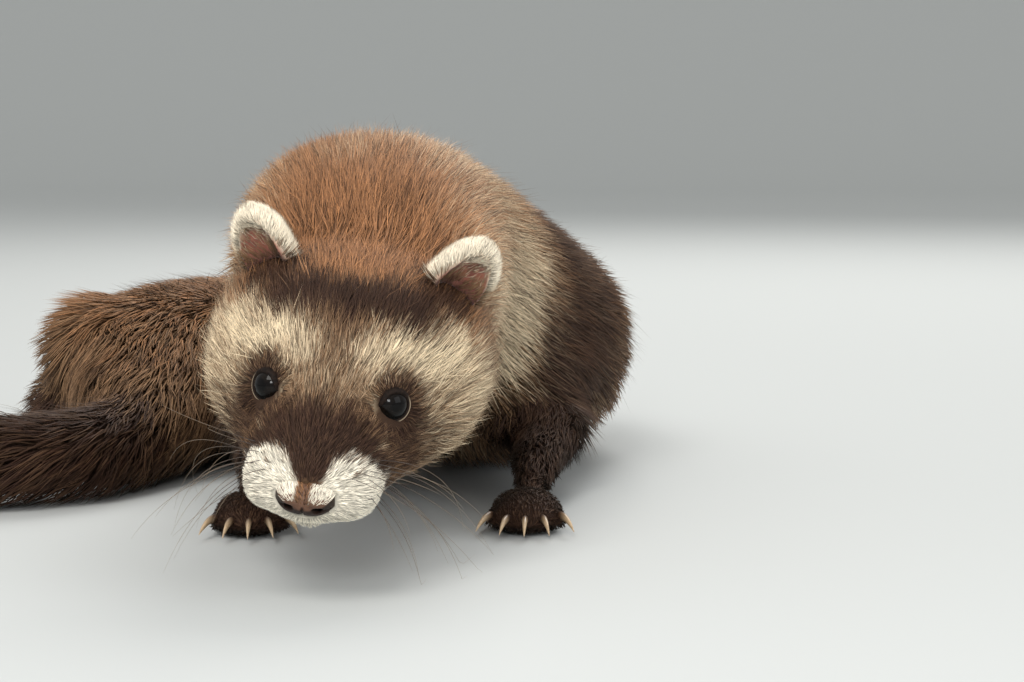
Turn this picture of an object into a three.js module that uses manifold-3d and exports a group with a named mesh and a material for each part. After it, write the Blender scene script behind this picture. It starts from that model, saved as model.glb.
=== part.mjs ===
// A life-size ferret, crouched over its forepaws with its head lowered and its hindquarters curled round beside it.
// Millimetres, +Z up, the floor at z = 0. It faces -Y, and its own left side is +X at the head.
import * as THREE from "three";
import { mergeVertices } from "three/addons/utils/BufferGeometryUtils.js";
import Module from "manifold-3d";

const wasm = await Module();
wasm.setup();

// Driving dimensions
const GAP = 0.3; // between parts that touch
const LEG_GAP = 0.4; // round the trunk where a leg lies against it
const HEAD_CENTRE = [0, 0, 40];
const HEAD_YAW = -7; // degrees, towards the animal's right
const HEAD_PITCH = 25; // degrees, nose down
const HEAD_ROLL = 9.5; // degrees, left cheek down

// Sizes on the head, in its own frame: x to its left, y backwards, z up
const EYE_RADIUS = 3.7;
const EYE_CENTRE = [11.2, -13.6, 4.4];
const EYE_LOOK = new THREE.Vector3(0.6, -0.7, 0.38).normalize();
const LID_THICKNESS = 1.2;
const SLIT_LENGTH = 7.4; // the opening between the lids
const SLIT_HEIGHT = 6.2;
const SLIT_CUT = 9; // how far the opening is cut, from the middle of the eye outwards
const NOSE_SIZE = [5.7, 4.1, 3.1]; // half width, half depth, half height
const NOSE_CENTRE = [0, -36.4, -3.7];
const NOSTRIL_SIZE = [1.2, 2.4, 0.9];
const NOSTRIL_CENTRE = [2.9, -39.8, -4.1];
const CLEFT_SIZE = [0.5, 1.6, 4.4]; // below the nostrils, down to the lip
const CLEFT_CENTRE = [0, -40.3, -5.4];
const WHISKER_PAD = { size: [7, 9.2, 6.3], centre: [6.7, -29.2, -5] };
const CHEEK = { size: [12, 20, 13.5], centre: [17, 8, -4] };
const CHIN = { size: [6.4, 7.6, 4], centre: [0, -29.4, -9.8] };
const MOUTH_LINE = [[-41, -9.4], [-35, -9.7], [-28, -10.6], [-21, -10], [-14, -7.6]]; // back, up
const MOUTH_GAP = 0.7;
const MOUTH_REACH = 22; // to each side, past the skin
const LIP_DEPTH = 1.1;
const EAR_ROOT = [18.8, 17, 14.3];
const EAR_SIZE = [7.8, 3.6, 11.2]; // half width, half depth, half height
const EAR_WALL = 1.9;
const EAR_FRONT_WALL = 0.76; // thinner where the cup opens
const EAR_RAISE = 2; // the shell's middle above its root
const CUP_OFFSET = [0, -2.3, 1.6];
const EAR_UP = new THREE.Vector3(0.5, 0.3, 0.81).normalize();
const EAR_BACK = new THREE.Vector3(-0.42, 0.86, -0.06).normalize();
const HEAD_SQUARENESS = 2.15; // 2 is an ellipse
const MUZZLE_CROWDING = 1.25; // above 1, the rings lie closer together at the muzzle
const HEAD_STATIONS = [
  // back, half width, top, bottom, how much narrower at the top
  [-39.6, 3.6, -3.2, -7.2, 0],
  [-38, 7, -0.2, -9.2, 0.02],
  [-35, 9.6, 2.6, -11, 0.06],
  [-31, 11.6, 4.9, -12.6, 0.1],
  [-26, 13.3, 7.3, -13.8, 0.16],
  [-20.5, 15.4, 10.2, -14.8, 0.24],
  [-15, 18.2, 13.4, -15.8, 0.28],
  [-9, 22.4, 16.6, -17, 0.26],
  [-2, 26.6, 18.9, -18.4, 0.2],
  [7, 29.4, 20, -19.6, 0.14],
  [17, 29.8, 19.6, -20, 0.12],
  [27, 26.4, 16.5, -18, 0.1],
  [34, 20, 11, -13, 0.1],
];

// The spine, from inside the head to the tip of the tail: x, y, z, half width, height above, depth below
const SPINE = [
  [0, 8, 43, 21, 14, 15],
  [2.3, 27, 50, 28.8, 23.8, 22],
  [2.3, 48, 57, 30.8, 28.2, 25],
  [2.6, 70, 58, 31.8, 30.5, 31],
  [8, 96, 52, 33.4, 32, 37],
  [21, 129, 42, 35, 30, 39],
  [32, 163, 33, 34, 26, 34.5],
  [23, 196, 27, 32.5, 22, 28.5],
  [-7, 211, 25, 31.5, 21.5, 26.5],
  [-38, 201, 25, 31.5, 22, 26.5],
  [-53, 174, 25, 31.5, 22.5, 26.5],
  [-57, 148, 24, 29, 22, 25.5],
  [-58, 124, 18.5, 20, 16.5, 20],
  [-61, 107, 14, 12.5, 12, 15],
  [-69, 92, 12, 11.5, 11.5, 13.2],
  [-83, 82, 11.5, 11.5, 11.5, 12.8],
  [-101, 78, 11.5, 12, 12, 12.8],
  [-119, 81, 11.5, 11.5, 11.5, 12.6],
  [-135, 88, 10.5, 9, 9, 11.2],
  [-146, 94, 9.5, 3, 3, 3.5],
];
const NECK_START = 1.15; // where each stretch begins, counted in stations of the spine
const SHOULDERS_START = 3.4;
const RIBS_START = 4.7;
const LOIN_START = 6.3;
const LOIN_MIDDLE = 7.8;
const RUMP_START = 9.4;
const TAIL_START = 12.6;
const TAIL_MIDDLE = 15.6;
const TAIL_END = SPINE.length - 1;
const BODY_AROUND = 28; // points in a ring
const TAIL_AROUND = 18;
const BODY_SQUARENESS = 2.2;
const RINGS_PER_STATION = 3;

// Each leg: the line and radii of its upper and lower length, then the middle and heading of its paw
const FORE_UPPER = [6, 13, 14.5, 12.5, 4];
const FORE_LOWER = [4, 10.5, 9.5, 7.5, 6.5, 3];
const HIND_UPPER = [6, 15, 17, 15, 5];
const HIND_LOWER = [4, 11.5, 10, 7.5, 6, 3];
const LEGS = {
  foreleg_left: {
    upper: [[16, 92, 50], [32, 106, 36], [44, 116, 24]],
    lower: [[45, 122, 20], [41, 92, 14], [38, 60, 8]],
    radii: [FORE_UPPER, FORE_LOWER],
    paw: { name: "forepaw_left", at: [37, 52], heading: 178 },
  },
  foreleg_right: {
    upper: [[-2, 90, 50], [-16, 104, 36], [-27, 114, 24]],
    lower: [[-28, 120, 20], [-25, 90, 14], [-24, 58, 8]],
    radii: [FORE_UPPER, FORE_LOWER],
    paw: { name: "forepaw_right", at: [-24, 49], heading: 184 },
  },
  hindleg_left: {
    upper: [[-66, 136, 32], [-76, 158, 29], [-84, 176, 22]],
    lower: [[-87, 188, 20], [-88, 162, 13], [-88, 134, 8]],
    radii: [HIND_UPPER, HIND_LOWER],
    paw: { name: "hindpaw_left", at: [-89, 160], heading: 4 },
  },
  hindleg_right: {
    upper: [[-48, 134, 32], [-38, 154, 29], [-30, 168, 22]],
    lower: [[-27, 178, 20], [-26, 154, 13], [-25, 128, 8]],
    radii: [HIND_UPPER, HIND_LOWER],
    paw: { name: "hindpaw_right", at: [-25, 152], heading: -4 },
  },
};
const FOREPAW = { length: 22, width: 8.6, height: 5.6, toeLength: 5 };
const HINDPAW = { length: 46, width: 7.6, height: 5.2, toeLength: 6 };
const PAD_RAISE = 0.72; // a paw's middle above the floor, as a share of its half height
const TOES = 5;
const TOE_RADIUS = 2.9;
const TOE_FAN = 0.42; // radians each way
const TOE_SPREAD = 0.72; // of the paw's half width
const TOE_REACH = 0.34; // of the paw's length, for the middle toe
const TOE_SETBACK = 0.22; // how much less far the outer toes reach
const CLAW_LENGTH = 8;
const CLAW_RADIUS = 1.15;
const CLAW_DROOP = 0.28; // radians
const CLAW_RAISE = 0.2;

// Materials
const plain = (color, roughness) => new THREE.MeshStandardMaterial({ color, roughness, metalness: 0 });
const coatPale = plain(0xb09a78, 0.9);
const coatBrown = plain(0x7a5a3e, 0.9);
const coatDark = plain(0x35261f, 0.9);
const earWhite = plain(0xe0d6bd, 0.85);
const noseSkin = plain(0x8a5c4a, 0.5);
const eyeBlack = plain(0x14100f, 0.08);

// Turning three.js geometry into solids, and back
function solid(geometry) {
  const bare = geometry.clone();
  bare.deleteAttribute("normal");
  bare.deleteAttribute("uv");
  const merged = mergeVertices(bare, 1e-4);
  const mesh = { numProp: 3, vertProperties: merged.attributes.position.array, triVerts: merged.index.array };
  return new wasm.Manifold(new wasm.Mesh(mesh));
}

function geometryOf(body) {
  const mesh = body.getMesh();
  return new THREE.BufferGeometry()
    .setAttribute("position", new THREE.BufferAttribute(mesh.vertProperties, 3))
    .setIndex(new THREE.BufferAttribute(mesh.triVerts, 1));
}

// Moves a solid. A mirroring matrix would turn its faces inwards, so their corners are then read backwards.
function moved(body, matrix) {
  const geometry = geometryOf(body).applyMatrix4(matrix);
  if (matrix.determinant() < 0) geometry.index.array.reverse();
  return solid(geometry);
}

const union = (bodies) => wasm.Manifold.union(bodies);
const largest = (body) => body.decompose().sort((a, b) => b.volume() - a.volume())[0];

function ellipsoid(size, centre, around, matrix = new THREE.Matrix4()) {
  const g = new THREE.SphereGeometry(1, around, Math.round(around * 0.6)).scale(...size).translate(...centre);
  return solid(g.applyMatrix4(matrix));
}

// Sizes that change smoothly along a part, from a table of stations
function stations(positions, rows) {
  const spline = new THREE.CubicInterpolant(positions, rows.flat(), rows[0].length);
  return (position) => Array.from(spline.evaluate(position));
}
const evenStations = (rows) => stations(rows.map((_, i) => i), rows);

// A closed skin over a row of rings that all have the same number of points
function loft(rings) {
  const n = rings[0].length;
  const middle = (ring) => ring.reduce((sum, p) => sum.add(p), new THREE.Vector3()).divideScalar(n);
  const points = [...rings.flat(), middle(rings[0]), middle(rings.at(-1))];
  const [first, last] = [points.length - 2, points.length - 1];
  const index = [];
  for (let j = 0; j < n; j++) {
    const k = (j + 1) % n;
    index.push(first, k, j);
    for (let i = 0; i + 1 < rings.length; i++) {
      const [a, b, c, d] = [i * n + j, i * n + k, (i + 1) * n + k, (i + 1) * n + j];
      index.push(a, b, c, a, c, d);
    }
    index.push(last, (rings.length - 1) * n + j, (rings.length - 1) * n + k);
  }
  const body = solid(new THREE.BufferGeometry().setFromPoints(points).setIndex(index));
  if (body.volume() > 0) return body;
  return solid(new THREE.BufferGeometry().setFromPoints(points).setIndex(index.reverse()));
}

// One ring of a rounded section. It can be fuller above or below its centre, and narrower at the top.
function ring(centre, left, up, width, above, below, around, squareness = BODY_SQUARENESS, narrowing = 0) {
  return Array.from({ length: around }, (_, i) => {
    const angle = (2 * Math.PI * i) / around;
    const [c, s] = [Math.cos(angle), Math.sin(angle)].map((v) => Math.sign(v) * Math.abs(v) ** (2 / squareness));
    const height = s > 0 ? above : below;
    return centre.clone().addScaledVector(left, width * c * (1 - narrowing * s)).addScaledVector(up, height * s);
  });
}

const X = new THREE.Vector3(1, 0, 0);
const Z = new THREE.Vector3(0, 0, 1);
const vectors = (rows) => rows.map(([x, y, z]) => new THREE.Vector3(x, y, z));
const spineLine = new THREE.CatmullRomCurve3(vectors(SPINE), false, "centripetal");
const spineSizes = evenStations(SPINE.map((row) => row.slice(3)));
const spinePoint = (position) => spineLine.getPoint(THREE.MathUtils.clamp(position / TAIL_END, 0, 1));

// The spine's direction is taken over a whole station, so that the rings fan out evenly round a bend
function spineFrame(position) {
  const back = spinePoint(position + 0.5).sub(spinePoint(position - 0.5)).normalize();
  const left = back.clone().cross(Z).normalize();
  return { centre: spinePoint(position), back, left, up: left.clone().cross(back) };
}

// A stretch of the neck, trunk or tail. It stops half a gap short of each end, and grow makes it fatter all round.
function stretch(from, to, around, grow = 0) {
  const count = Math.max(2, Math.round((to - from) * RINGS_PER_STATION));
  const rings = Array.from({ length: count + 1 }, (_, i) => {
    const position = from + ((to - from) * i) / count;
    const { centre, back, left, up } = spineFrame(position);
    if (i === 0) centre.addScaledVector(back, GAP / 2 - grow);
    if (i === count) centre.addScaledVector(back, grow - GAP / 2);
    const [width, above, below] = spineSizes(position).map((v) => v + grow);
    return ring(centre, left, up, width, above, below, around);
  });
  return loft(rings);
}

// All that is below the floor, which leaves the flats that the animal rests on
const underground = solid(new THREE.BoxGeometry(800, 800, 100).translate(0, 100, -50));
const resting = (body) => body.subtract(underground);

const headSizes = stations(HEAD_STATIONS.map((row) => row[0]), HEAD_STATIONS.map((row) => row.slice(1)));

function headShape(grow = 0, count = 22, around = 28) {
  const [front, rear] = [HEAD_STATIONS[0][0], HEAD_STATIONS.at(-1)[0]];
  const rings = Array.from({ length: count + 1 }, (_, i) => {
    const back = front + (rear - front) * (i / count) ** MUZZLE_CROWDING;
    const [width, top, bottom, narrowing] = headSizes(back);
    const shift = i === 0 ? -grow : i === count ? grow : 0;
    const centre = new THREE.Vector3(0, back + shift, (top + bottom) / 2);
    const half = (top - bottom) / 2 + grow;
    return ring(centre, X, Z, width + grow, half, half, around, HEAD_SQUARENESS, narrowing);
  });
  return loft(rings);
}

// Everything in pairs is made for the left side and mirrored for the right one
const MIRROR = new THREE.Matrix4().makeScale(-1, 1, 1);
const onSide = (body, side) => (side > 0 ? body : moved(body, MIRROR));
const bothSides = (body) => [body, moved(body, MIRROR)];

// Whisker pads, chin and cheeks, which round out the head
function faceMasses() {
  const pads = bothSides(ellipsoid(WHISKER_PAD.size, WHISKER_PAD.centre, 16));
  const cheeks = bothSides(ellipsoid(CHEEK.size, CHEEK.centre, 16));
  return [ellipsoid(CHIN.size, CHIN.centre, 12), ...pads, ...cheeks];
}

const eyeBall = (radius, around = 16) => ellipsoid([radius, radius, radius], EYE_CENTRE, around);

// A frame with y along one direction and z as near as it can be to another
function frameAlong(origin, y, nearZ) {
  const across = y.clone().cross(nearZ).normalize();
  const basis = new THREE.Matrix4().makeBasis(across, y, across.clone().cross(y));
  return new THREE.Matrix4().makeTranslation(...origin).multiply(basis);
}

// The almond-shaped slit between the left lids, pointed at the inner corner
function slit() {
  const [half, high] = [SLIT_LENGTH / 2, SLIT_HEIGHT / 2];
  const almond = new THREE.Shape();
  almond.moveTo(-half, 0);
  almond.quadraticCurveTo(-half * 0.5, high * 1.2, half * 0.2, high);
  almond.quadraticCurveTo(half, high * 0.8, half, 0);
  almond.quadraticCurveTo(half * 0.9, -high * 0.9, half * 0.1, -high);
  almond.quadraticCurveTo(-half * 0.6, -high * 0.8, -half, 0);
  const g = new THREE.ExtrudeGeometry(almond, { depth: SLIT_CUT, bevelEnabled: false, curveSegments: 4 });
  g.rotateX(Math.PI / 2).rotateZ(Math.PI);
  return solid(g.applyMatrix4(frameAlong(EYE_CENTRE, EYE_LOOK, Z)));
}

// The line of the mouth, from under the nose to below each eye, cut only skin deep
function mouthGroove(core) {
  const line = new THREE.SplineCurve(MOUTH_LINE.map(([back, up]) => new THREE.Vector2(back, up))).getPoints(8);
  const rings = line.map(({ x: back, y: up }) => {
    const [low, high] = [up - MOUTH_GAP / 2, up + MOUTH_GAP / 2];
    const corners = [[-MOUTH_REACH, low], [MOUTH_REACH, low], [MOUTH_REACH, high], [-MOUTH_REACH, high]];
    return corners.map(([x, z]) => new THREE.Vector3(x, back, z));
  });
  return loft(rings).subtract(core);
}

const nosePad = (grow) => ellipsoid(NOSE_SIZE.map((v) => v + grow), NOSE_CENTRE, 16);

function nostrils() {
  const cleft = solid(new THREE.BoxGeometry(...CLEFT_SIZE).translate(...CLEFT_CENTRE));
  return union([cleft, ...bothSides(ellipsoid(NOSTRIL_SIZE, NOSTRIL_CENTRE, 8))]);
}

// The left ear is a shallow cup that opens forwards and outwards
function ear() {
  const matrix = frameAlong(EAR_ROOT, EAR_BACK, EAR_UP);
  const shell = ellipsoid(EAR_SIZE, [0, 0, EAR_RAISE], 20, matrix);
  const [width, depth, height] = EAR_SIZE;
  const cup = ellipsoid([width - EAR_WALL, depth - EAR_FRONT_WALL, height - EAR_WALL], CUP_OFFSET, 18, matrix);
  return shell.subtract(cup);
}

// One length of a leg: a round tube whose radius changes along a gentle line
function limb(points, radii, around = 12, count = 7) {
  const line = new THREE.CatmullRomCurve3(vectors(points));
  const radiusAt = evenStations(radii.map((r) => [r]));
  const { normals, binormals } = line.computeFrenetFrames(count);
  return loft(
    normals.map((normal, i) => {
      const [r] = radiusAt((i / count) * (radii.length - 1));
      return ring(line.getPointAt(i / count), normal, binormals[i], r, r, r, around, 2);
    }),
  );
}

// A paw: its pad, then toes that fan out with a claw on each. It points along +Y before it is turned.
function paw({ length, width, height, toeLength }) {
  const pieces = [ellipsoid([width, length / 2, height], [0, 0, height * PAD_RAISE], 14)];
  for (let i = 0; i < TOES; i++) {
    const spread = (i / (TOES - 1)) * 2 - 1;
    const root = [spread * width * TOE_SPREAD, length * (TOE_REACH - TOE_SETBACK * spread ** 2), TOE_RADIUS];
    const turn = new THREE.Matrix4().makeTranslation(...root).multiply(new THREE.Matrix4().makeRotationZ(-spread * TOE_FAN));
    pieces.push(solid(new THREE.CapsuleGeometry(TOE_RADIUS, toeLength, 2, 6).applyMatrix4(turn)));
    const claw = new THREE.ConeGeometry(CLAW_RADIUS, CLAW_LENGTH, 4).rotateX(-CLAW_DROOP);
    claw.translate(0, toeLength / 2 + CLAW_LENGTH / 2, CLAW_RAISE);
    pieces.push(solid(claw.applyMatrix4(turn)));
  }
  return union(pieces);
}

// Building every part, with thin gaps between them
const ferret = new THREE.Group();
ferret.name = "ferret";

function add(name, body, material) {
  const mesh = new THREE.Mesh(geometryOf(largest(body)), material);
  mesh.name = name;
  ferret.add(mesh);
}

const rotation = [HEAD_PITCH, HEAD_ROLL, HEAD_YAW].map(THREE.MathUtils.degToRad);
const headMatrix = new THREE.Matrix4()
  .makeRotationFromEuler(new THREE.Euler(...rotation, "ZXY"))
  .setPosition(...HEAD_CENTRE);
const placeOnHead = (body) => moved(body, headMatrix);

function head() {
  const hollows = [...bothSides(eyeBall(EYE_RADIUS + GAP)), ...bothSides(slit()), nosePad(GAP)];
  const skull = union([headShape(), ...faceMasses(), ...bothSides(eyeBall(EYE_RADIUS + LID_THICKNESS))])
    .subtract(union(hollows))
    .subtract(mouthGroove(headShape(-LIP_DEPTH, 16, 20)));
  const { centre, back } = spineFrame(NECK_START);
  const behind = new THREE.BoxGeometry(160, 160, 160)
    .translate(0, 0, 80 - GAP / 2)
    .applyQuaternion(new THREE.Quaternion().setFromUnitVectors(Z, back))
    .translate(...centre.toArray());
  return placeOnHead(skull).add(stretch(0, NECK_START + 0.05, BODY_AROUND)).subtract(solid(behind));
}

add("head", head(), coatPale);
add("nose", placeOnHead(nosePad(0).subtract(nostrils())), noseSkin);
const earAlone = ear().subtract(headShape(GAP));
const neckGrown = stretch(0, SHOULDERS_START, BODY_AROUND, GAP);
for (const [side, name] of [[1, "left"], [-1, "right"]]) {
  add("eye_" + name, placeOnHead(onSide(eyeBall(EYE_RADIUS), side)), eyeBlack);
  add("ear_" + name, placeOnHead(onSide(earAlone, side)).subtract(neckGrown), earWhite);
}

const stretches = [
  ["neck", NECK_START, SHOULDERS_START, BODY_AROUND, coatBrown],
  ["torso_shoulders", SHOULDERS_START, RIBS_START, BODY_AROUND, coatBrown],
  ["torso_ribs", RIBS_START, LOIN_START, BODY_AROUND, coatBrown],
  ["torso_loin_front", LOIN_START, LOIN_MIDDLE, BODY_AROUND, coatBrown],
  ["torso_loin_rear", LOIN_MIDDLE, RUMP_START, BODY_AROUND, coatBrown],
  ["torso_rump", RUMP_START, TAIL_START, BODY_AROUND, coatBrown],
  ["tail_base", TAIL_START, TAIL_MIDDLE, TAIL_AROUND, coatDark],
  ["tail_tip", TAIL_MIDDLE, TAIL_END, TAIL_AROUND, coatDark],
];
for (const [name, from, to, around, material] of stretches) add(name, resting(stretch(from, to, around)), material);

const trunkGrown = union(stretches.map(([, from, to, around]) => stretch(from, to, around, LEG_GAP)));
for (const [name, leg] of Object.entries(LEGS)) {
  const { at, heading } = leg.paw;
  const turn = new THREE.Matrix4().makeRotationZ(THREE.MathUtils.degToRad(heading)).setPosition(...at, 0);
  const size = name.startsWith("fore") ? FOREPAW : HINDPAW;
  add(leg.paw.name, resting(moved(paw(size), turn).subtract(trunkGrown)), coatDark);
  const pawGrown = moved(paw({ ...size, width: size.width + GAP, height: size.height + GAP }), turn);
  const flesh = union([limb(leg.upper, leg.radii[0]), limb(leg.lower, leg.radii[1])]);
  add(name, resting(flesh.subtract(trunkGrown).subtract(pawGrown)), coatDark);
}

// The origin is on the floor, under the middle of the whole animal
const box = new THREE.Box3().setFromObject(ferret);
const middle = box.getCenter(new THREE.Vector3());
ferret.position.set(-middle.x, -middle.y, 0);

export default ferret;
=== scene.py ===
# %% [markdown]
# # A sable ferret, life size
# The solids of a crouched ferret come in as a fixed frame. This notebook gives them a living look: one soft
# skin in place of the blocks of flesh, a coat of real mesh hairs over it, wet dark eyes between their lids,
# a nose, ears, claws and whiskers. What goes to Blender is in metres. The sizes of the animal's parts are
# written in millimetres, and `MM` turns them into metres.

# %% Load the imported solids
import math

import bmesh
import bpy
import numpy as np
from mathutils import Matrix, Vector
from mathutils.kdtree import KDTree


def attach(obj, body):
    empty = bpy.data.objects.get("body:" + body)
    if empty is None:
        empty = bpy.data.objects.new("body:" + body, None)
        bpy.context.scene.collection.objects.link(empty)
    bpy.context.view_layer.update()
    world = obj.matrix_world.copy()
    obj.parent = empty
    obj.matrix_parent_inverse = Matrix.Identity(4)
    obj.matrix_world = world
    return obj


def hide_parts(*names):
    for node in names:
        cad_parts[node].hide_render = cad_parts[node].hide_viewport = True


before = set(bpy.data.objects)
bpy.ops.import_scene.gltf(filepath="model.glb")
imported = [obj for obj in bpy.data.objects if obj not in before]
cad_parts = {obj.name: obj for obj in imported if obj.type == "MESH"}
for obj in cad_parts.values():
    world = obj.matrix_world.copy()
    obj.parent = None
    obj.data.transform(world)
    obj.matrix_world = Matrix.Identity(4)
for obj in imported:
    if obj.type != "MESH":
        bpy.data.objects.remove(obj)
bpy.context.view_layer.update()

MM = 0.001
SCENE = bpy.context.scene

# %% [markdown]
# ## The camera, the floor and the light
# The photograph was taken from close by, a little above the head, with a long lens. The camera is placed
# from the head itself, so that it stays right if the animal is moved: back along its own line of sight,
# then a little right and up.

# %% Camera
FRAME_WIDTH = 1024  # pixels
FOCAL = 2267  # pixels, from the photograph's perspective
SENSOR = 36  # millimetres across
LOOKING_DOWN = math.radians(5.5)
HEAD_CENTRE = Vector((40.7151, -103.7187, 40)) * MM
CAMERA_DISTANCE = 450 * MM
CAMERA_ASIDE = 33.77 * MM
CAMERA_RAISED = 7.04 * MM

forward = Vector((0, math.cos(LOOKING_DOWN), -math.sin(LOOKING_DOWN)))
upward = Vector((0, math.sin(LOOKING_DOWN), math.cos(LOOKING_DOWN)))
rightward = Vector((1, 0, 0))
camera = bpy.data.objects.new("camera", bpy.data.cameras.new("camera"))
camera.data.sensor_width = SENSOR
camera.data.lens = FOCAL * SENSOR / FRAME_WIDTH
camera.data.clip_start = 0.01
camera_turn = Matrix((rightward, upward, -forward)).transposed().to_4x4()
camera_place = HEAD_CENTRE - forward * CAMERA_DISTANCE + rightward * CAMERA_ASIDE + upward * CAMERA_RAISED
camera.matrix_world = Matrix.Translation(camera_place) @ camera_turn
SCENE.collection.objects.link(camera)
SCENE.camera = camera
print("camera lens", round(camera.data.lens, 1), "mm, at", [round(v, 3) for v in camera_place])

# %% [markdown]
# Fur needs light that wraps round it: large lamps, one high and to the front left as the main light, a
# weaker one on the right to open the shadows, and one behind that draws a bright line along the outline of
# the hairs. A fourth, small lamp above the camera is there for the spark that it leaves in each eye.

# %% Floor and lamps
def material(name, **values):
    """A new node material, with plain values set straight on its Principled shader."""
    m = bpy.data.materials.new(name)
    m.use_nodes = True
    shader = m.node_tree.nodes["Principled BSDF"]
    for socket, value in values.items():
        shader.inputs[socket.replace("_", " ")].default_value = value
    return m, m.node_tree, shader


def link(tree, source, target):
    """Joins two sockets of a material or group."""
    tree.links.new(source, target)


def mesh_from_lists(name, points, faces):
    """A smooth mesh from lists, where the faces may differ in their number of corners."""
    mesh = bpy.data.meshes.new(name)
    mesh.from_pydata(points, [], faces)
    mesh.polygons.foreach_set("use_smooth", [True] * len(faces))
    return mesh


def sweep(width=9.0, depth=4.0, height=4.0, bend=1.6, steps=24):
    """A floor that curves up into a wall behind, so that no edge shows."""
    quarter = np.linspace(0, math.pi / 2, steps)
    line = [(-depth, 0.0)]
    line += [(depth - bend + bend * math.sin(a), bend - bend * math.cos(a)) for a in quarter]
    line.append((depth, height))
    points = [(x, y, z) for y, z in line for x in (-width / 2, width / 2)]
    faces = [(i, i + 1, i + 3, i + 2) for i in range(0, len(points) - 2, 2)]
    ob = bpy.data.objects.new("sweep", mesh_from_lists("sweep", points, faces))
    SCENE.collection.objects.link(ob)
    return ob


backdrop = sweep()
backdrop_paint, _, _ = material("pale_paper", Base_Color=(0.52, 0.54, 0.535, 1), Roughness=0.85)
backdrop.data.materials.append(backdrop_paint)


def lamp(name, place, size, watts, colour=(1, 1, 1)):
    """A square soft box that points at the head."""
    data = bpy.data.lights.new(name, "AREA")
    data.size = size
    data.energy = watts
    data.color = colour
    ob = bpy.data.objects.new(name, data)
    ob.location = HEAD_CENTRE + Vector(place)
    ob.rotation_euler = (HEAD_CENTRE - ob.location).to_track_quat("-Z", "Y").to_euler()
    SCENE.collection.objects.link(ob)


lamp("main_light", (-0.3, -0.75, 1.0), 0.6, 9, (1.0, 0.97, 0.93))
lamp("fill_light", (0.95, -0.6, 0.5), 0.8, 3, (0.95, 0.97, 1.0))
lamp("catch_light", (-0.025, -0.563, 0.24), 0.13, 1.1)
lamp("rim_light", (0.3, 1.0, 0.9), 0.7, 9, (1.0, 0.98, 0.95))
world = bpy.data.worlds.new("studio")
world.use_nodes = True
background = world.node_tree.nodes["Background"].inputs
background["Color"].default_value = (0.9, 0.9, 0.89, 1)
background["Strength"].default_value = 0.75
SCENE.world = world
SCENE.view_settings.view_transform = "Standard"

# %% [markdown]
# ## Small helpers
# Skin and coat are worked out with NumPy arrays, where one line handles all points at once. `ramp` eases
# from 0 to 1 between two values, and nearly every mask on the animal is made with it.

# %% Array helpers
RNG = np.random.default_rng(7)
WAVES_ADDED = 6
WAVES_REACH = 2.4  # about how high their sum gets


def unit(v):
    """The same directions, each of length one."""
    return v / np.maximum(np.linalg.norm(v, axis=-1, keepdims=True), 1e-12)


def dot(a, b):
    """How far each vector of one array reaches along that of the other."""
    return (a * b).sum(-1, keepdims=True)


def ramp(x, low, high):
    """Eases from 0 at low to 1 at high."""
    t = np.clip((x - low) / (high - low), 0, 1)
    return t * t * (3 - 2 * t)


def waves(points, size, seed=0):
    """A smooth, repeatable ripple between about -1 and 1. Points and size are in the same unit."""
    rng = np.random.default_rng(seed)
    total = np.zeros(len(points))
    for _ in range(WAVES_ADDED):
        direction = unit(rng.normal(size=3)) * rng.uniform(0.7, 1.6) * 2 * math.pi / size
        total += np.sin(points @ direction + rng.uniform(0, 2 * math.pi))
    return total / WAVES_REACH


def tree_of(points):
    """A search tree that finds the nearest of the points."""
    tree = KDTree(len(points))
    for i, p in enumerate(points):
        tree.insert(p, i)
    tree.balance()
    return tree


print("ripple range over 1000 points:", waves(RNG.normal(size=(1000, 3)), 1.0).round(1).min())

# %% Mesh helpers
def rows(mesh, kind, field, width, dtype=np.float32):
    """One field of a mesh's points or corners as an array, with a row for each of them."""
    values = np.empty(len(getattr(mesh, kind)) * width, dtype)
    getattr(mesh, kind).foreach_get(field, values)
    return values.reshape(-1, width) if width > 1 else values


def points_of(mesh):
    """The places of a mesh's points."""
    return rows(mesh, "vertices", "co", 3).astype(float)


def mesh_of(name, points, faces):
    """A smooth mesh from arrays: points (n, 3) and faces with all the same number of corners."""
    points = np.asarray(points, np.float32)
    faces = np.asarray(faces, np.int32)
    mesh = bpy.data.meshes.new(name)
    mesh.vertices.add(len(points))
    mesh.vertices.foreach_set("co", points.ravel())
    mesh.loops.add(faces.size)
    mesh.loops.foreach_set("vertex_index", faces.ravel())
    mesh.polygons.add(len(faces))
    mesh.polygons.foreach_set("loop_start", np.arange(0, faces.size, faces.shape[1], dtype=np.int32))
    mesh.polygons.foreach_set("use_smooth", np.ones(len(faces), bool))
    mesh.update(calc_edges=True)
    return mesh


def ring_faces(rings, around):
    """Faces of four between rings of points, which follow each other with the same number of points."""
    i, j = np.meshgrid(np.arange(rings - 1), np.arange(around), indexing="ij")
    k = (j + 1) % around
    corners = [i * around + j, (i + 1) * around + j, (i + 1) * around + k, i * around + k]
    return np.stack(corners, -1).reshape(-1, 4)


def write_colours(mesh, name, values):
    """Stores up to four values at each point as a colour attribute."""
    attribute = mesh.color_attributes.new(name, "FLOAT_COLOR", "POINT")
    full = np.ones((len(mesh.vertices), 4), np.float32)
    full[:, :values.shape[1]] = values
    attribute.data.foreach_set("color", full.ravel())


def write_map(mesh, corner_uv):
    """Stores a place on the bake map for each corner of each face."""
    layer = mesh.uv_layers.new(name="OFBake")
    layer.data.foreach_set("uv", corner_uv.astype(np.float32).ravel())


def piece(mesh, paint, stands_for=()):
    """Puts a mesh in the scene as part of the animal."""
    ob = bpy.data.objects.new(mesh.name, mesh)
    SCENE.collection.objects.link(ob)
    mesh.materials.append(paint)
    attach(ob, "root")
    if stands_for:
        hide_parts(*stands_for)
    return ob


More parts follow.
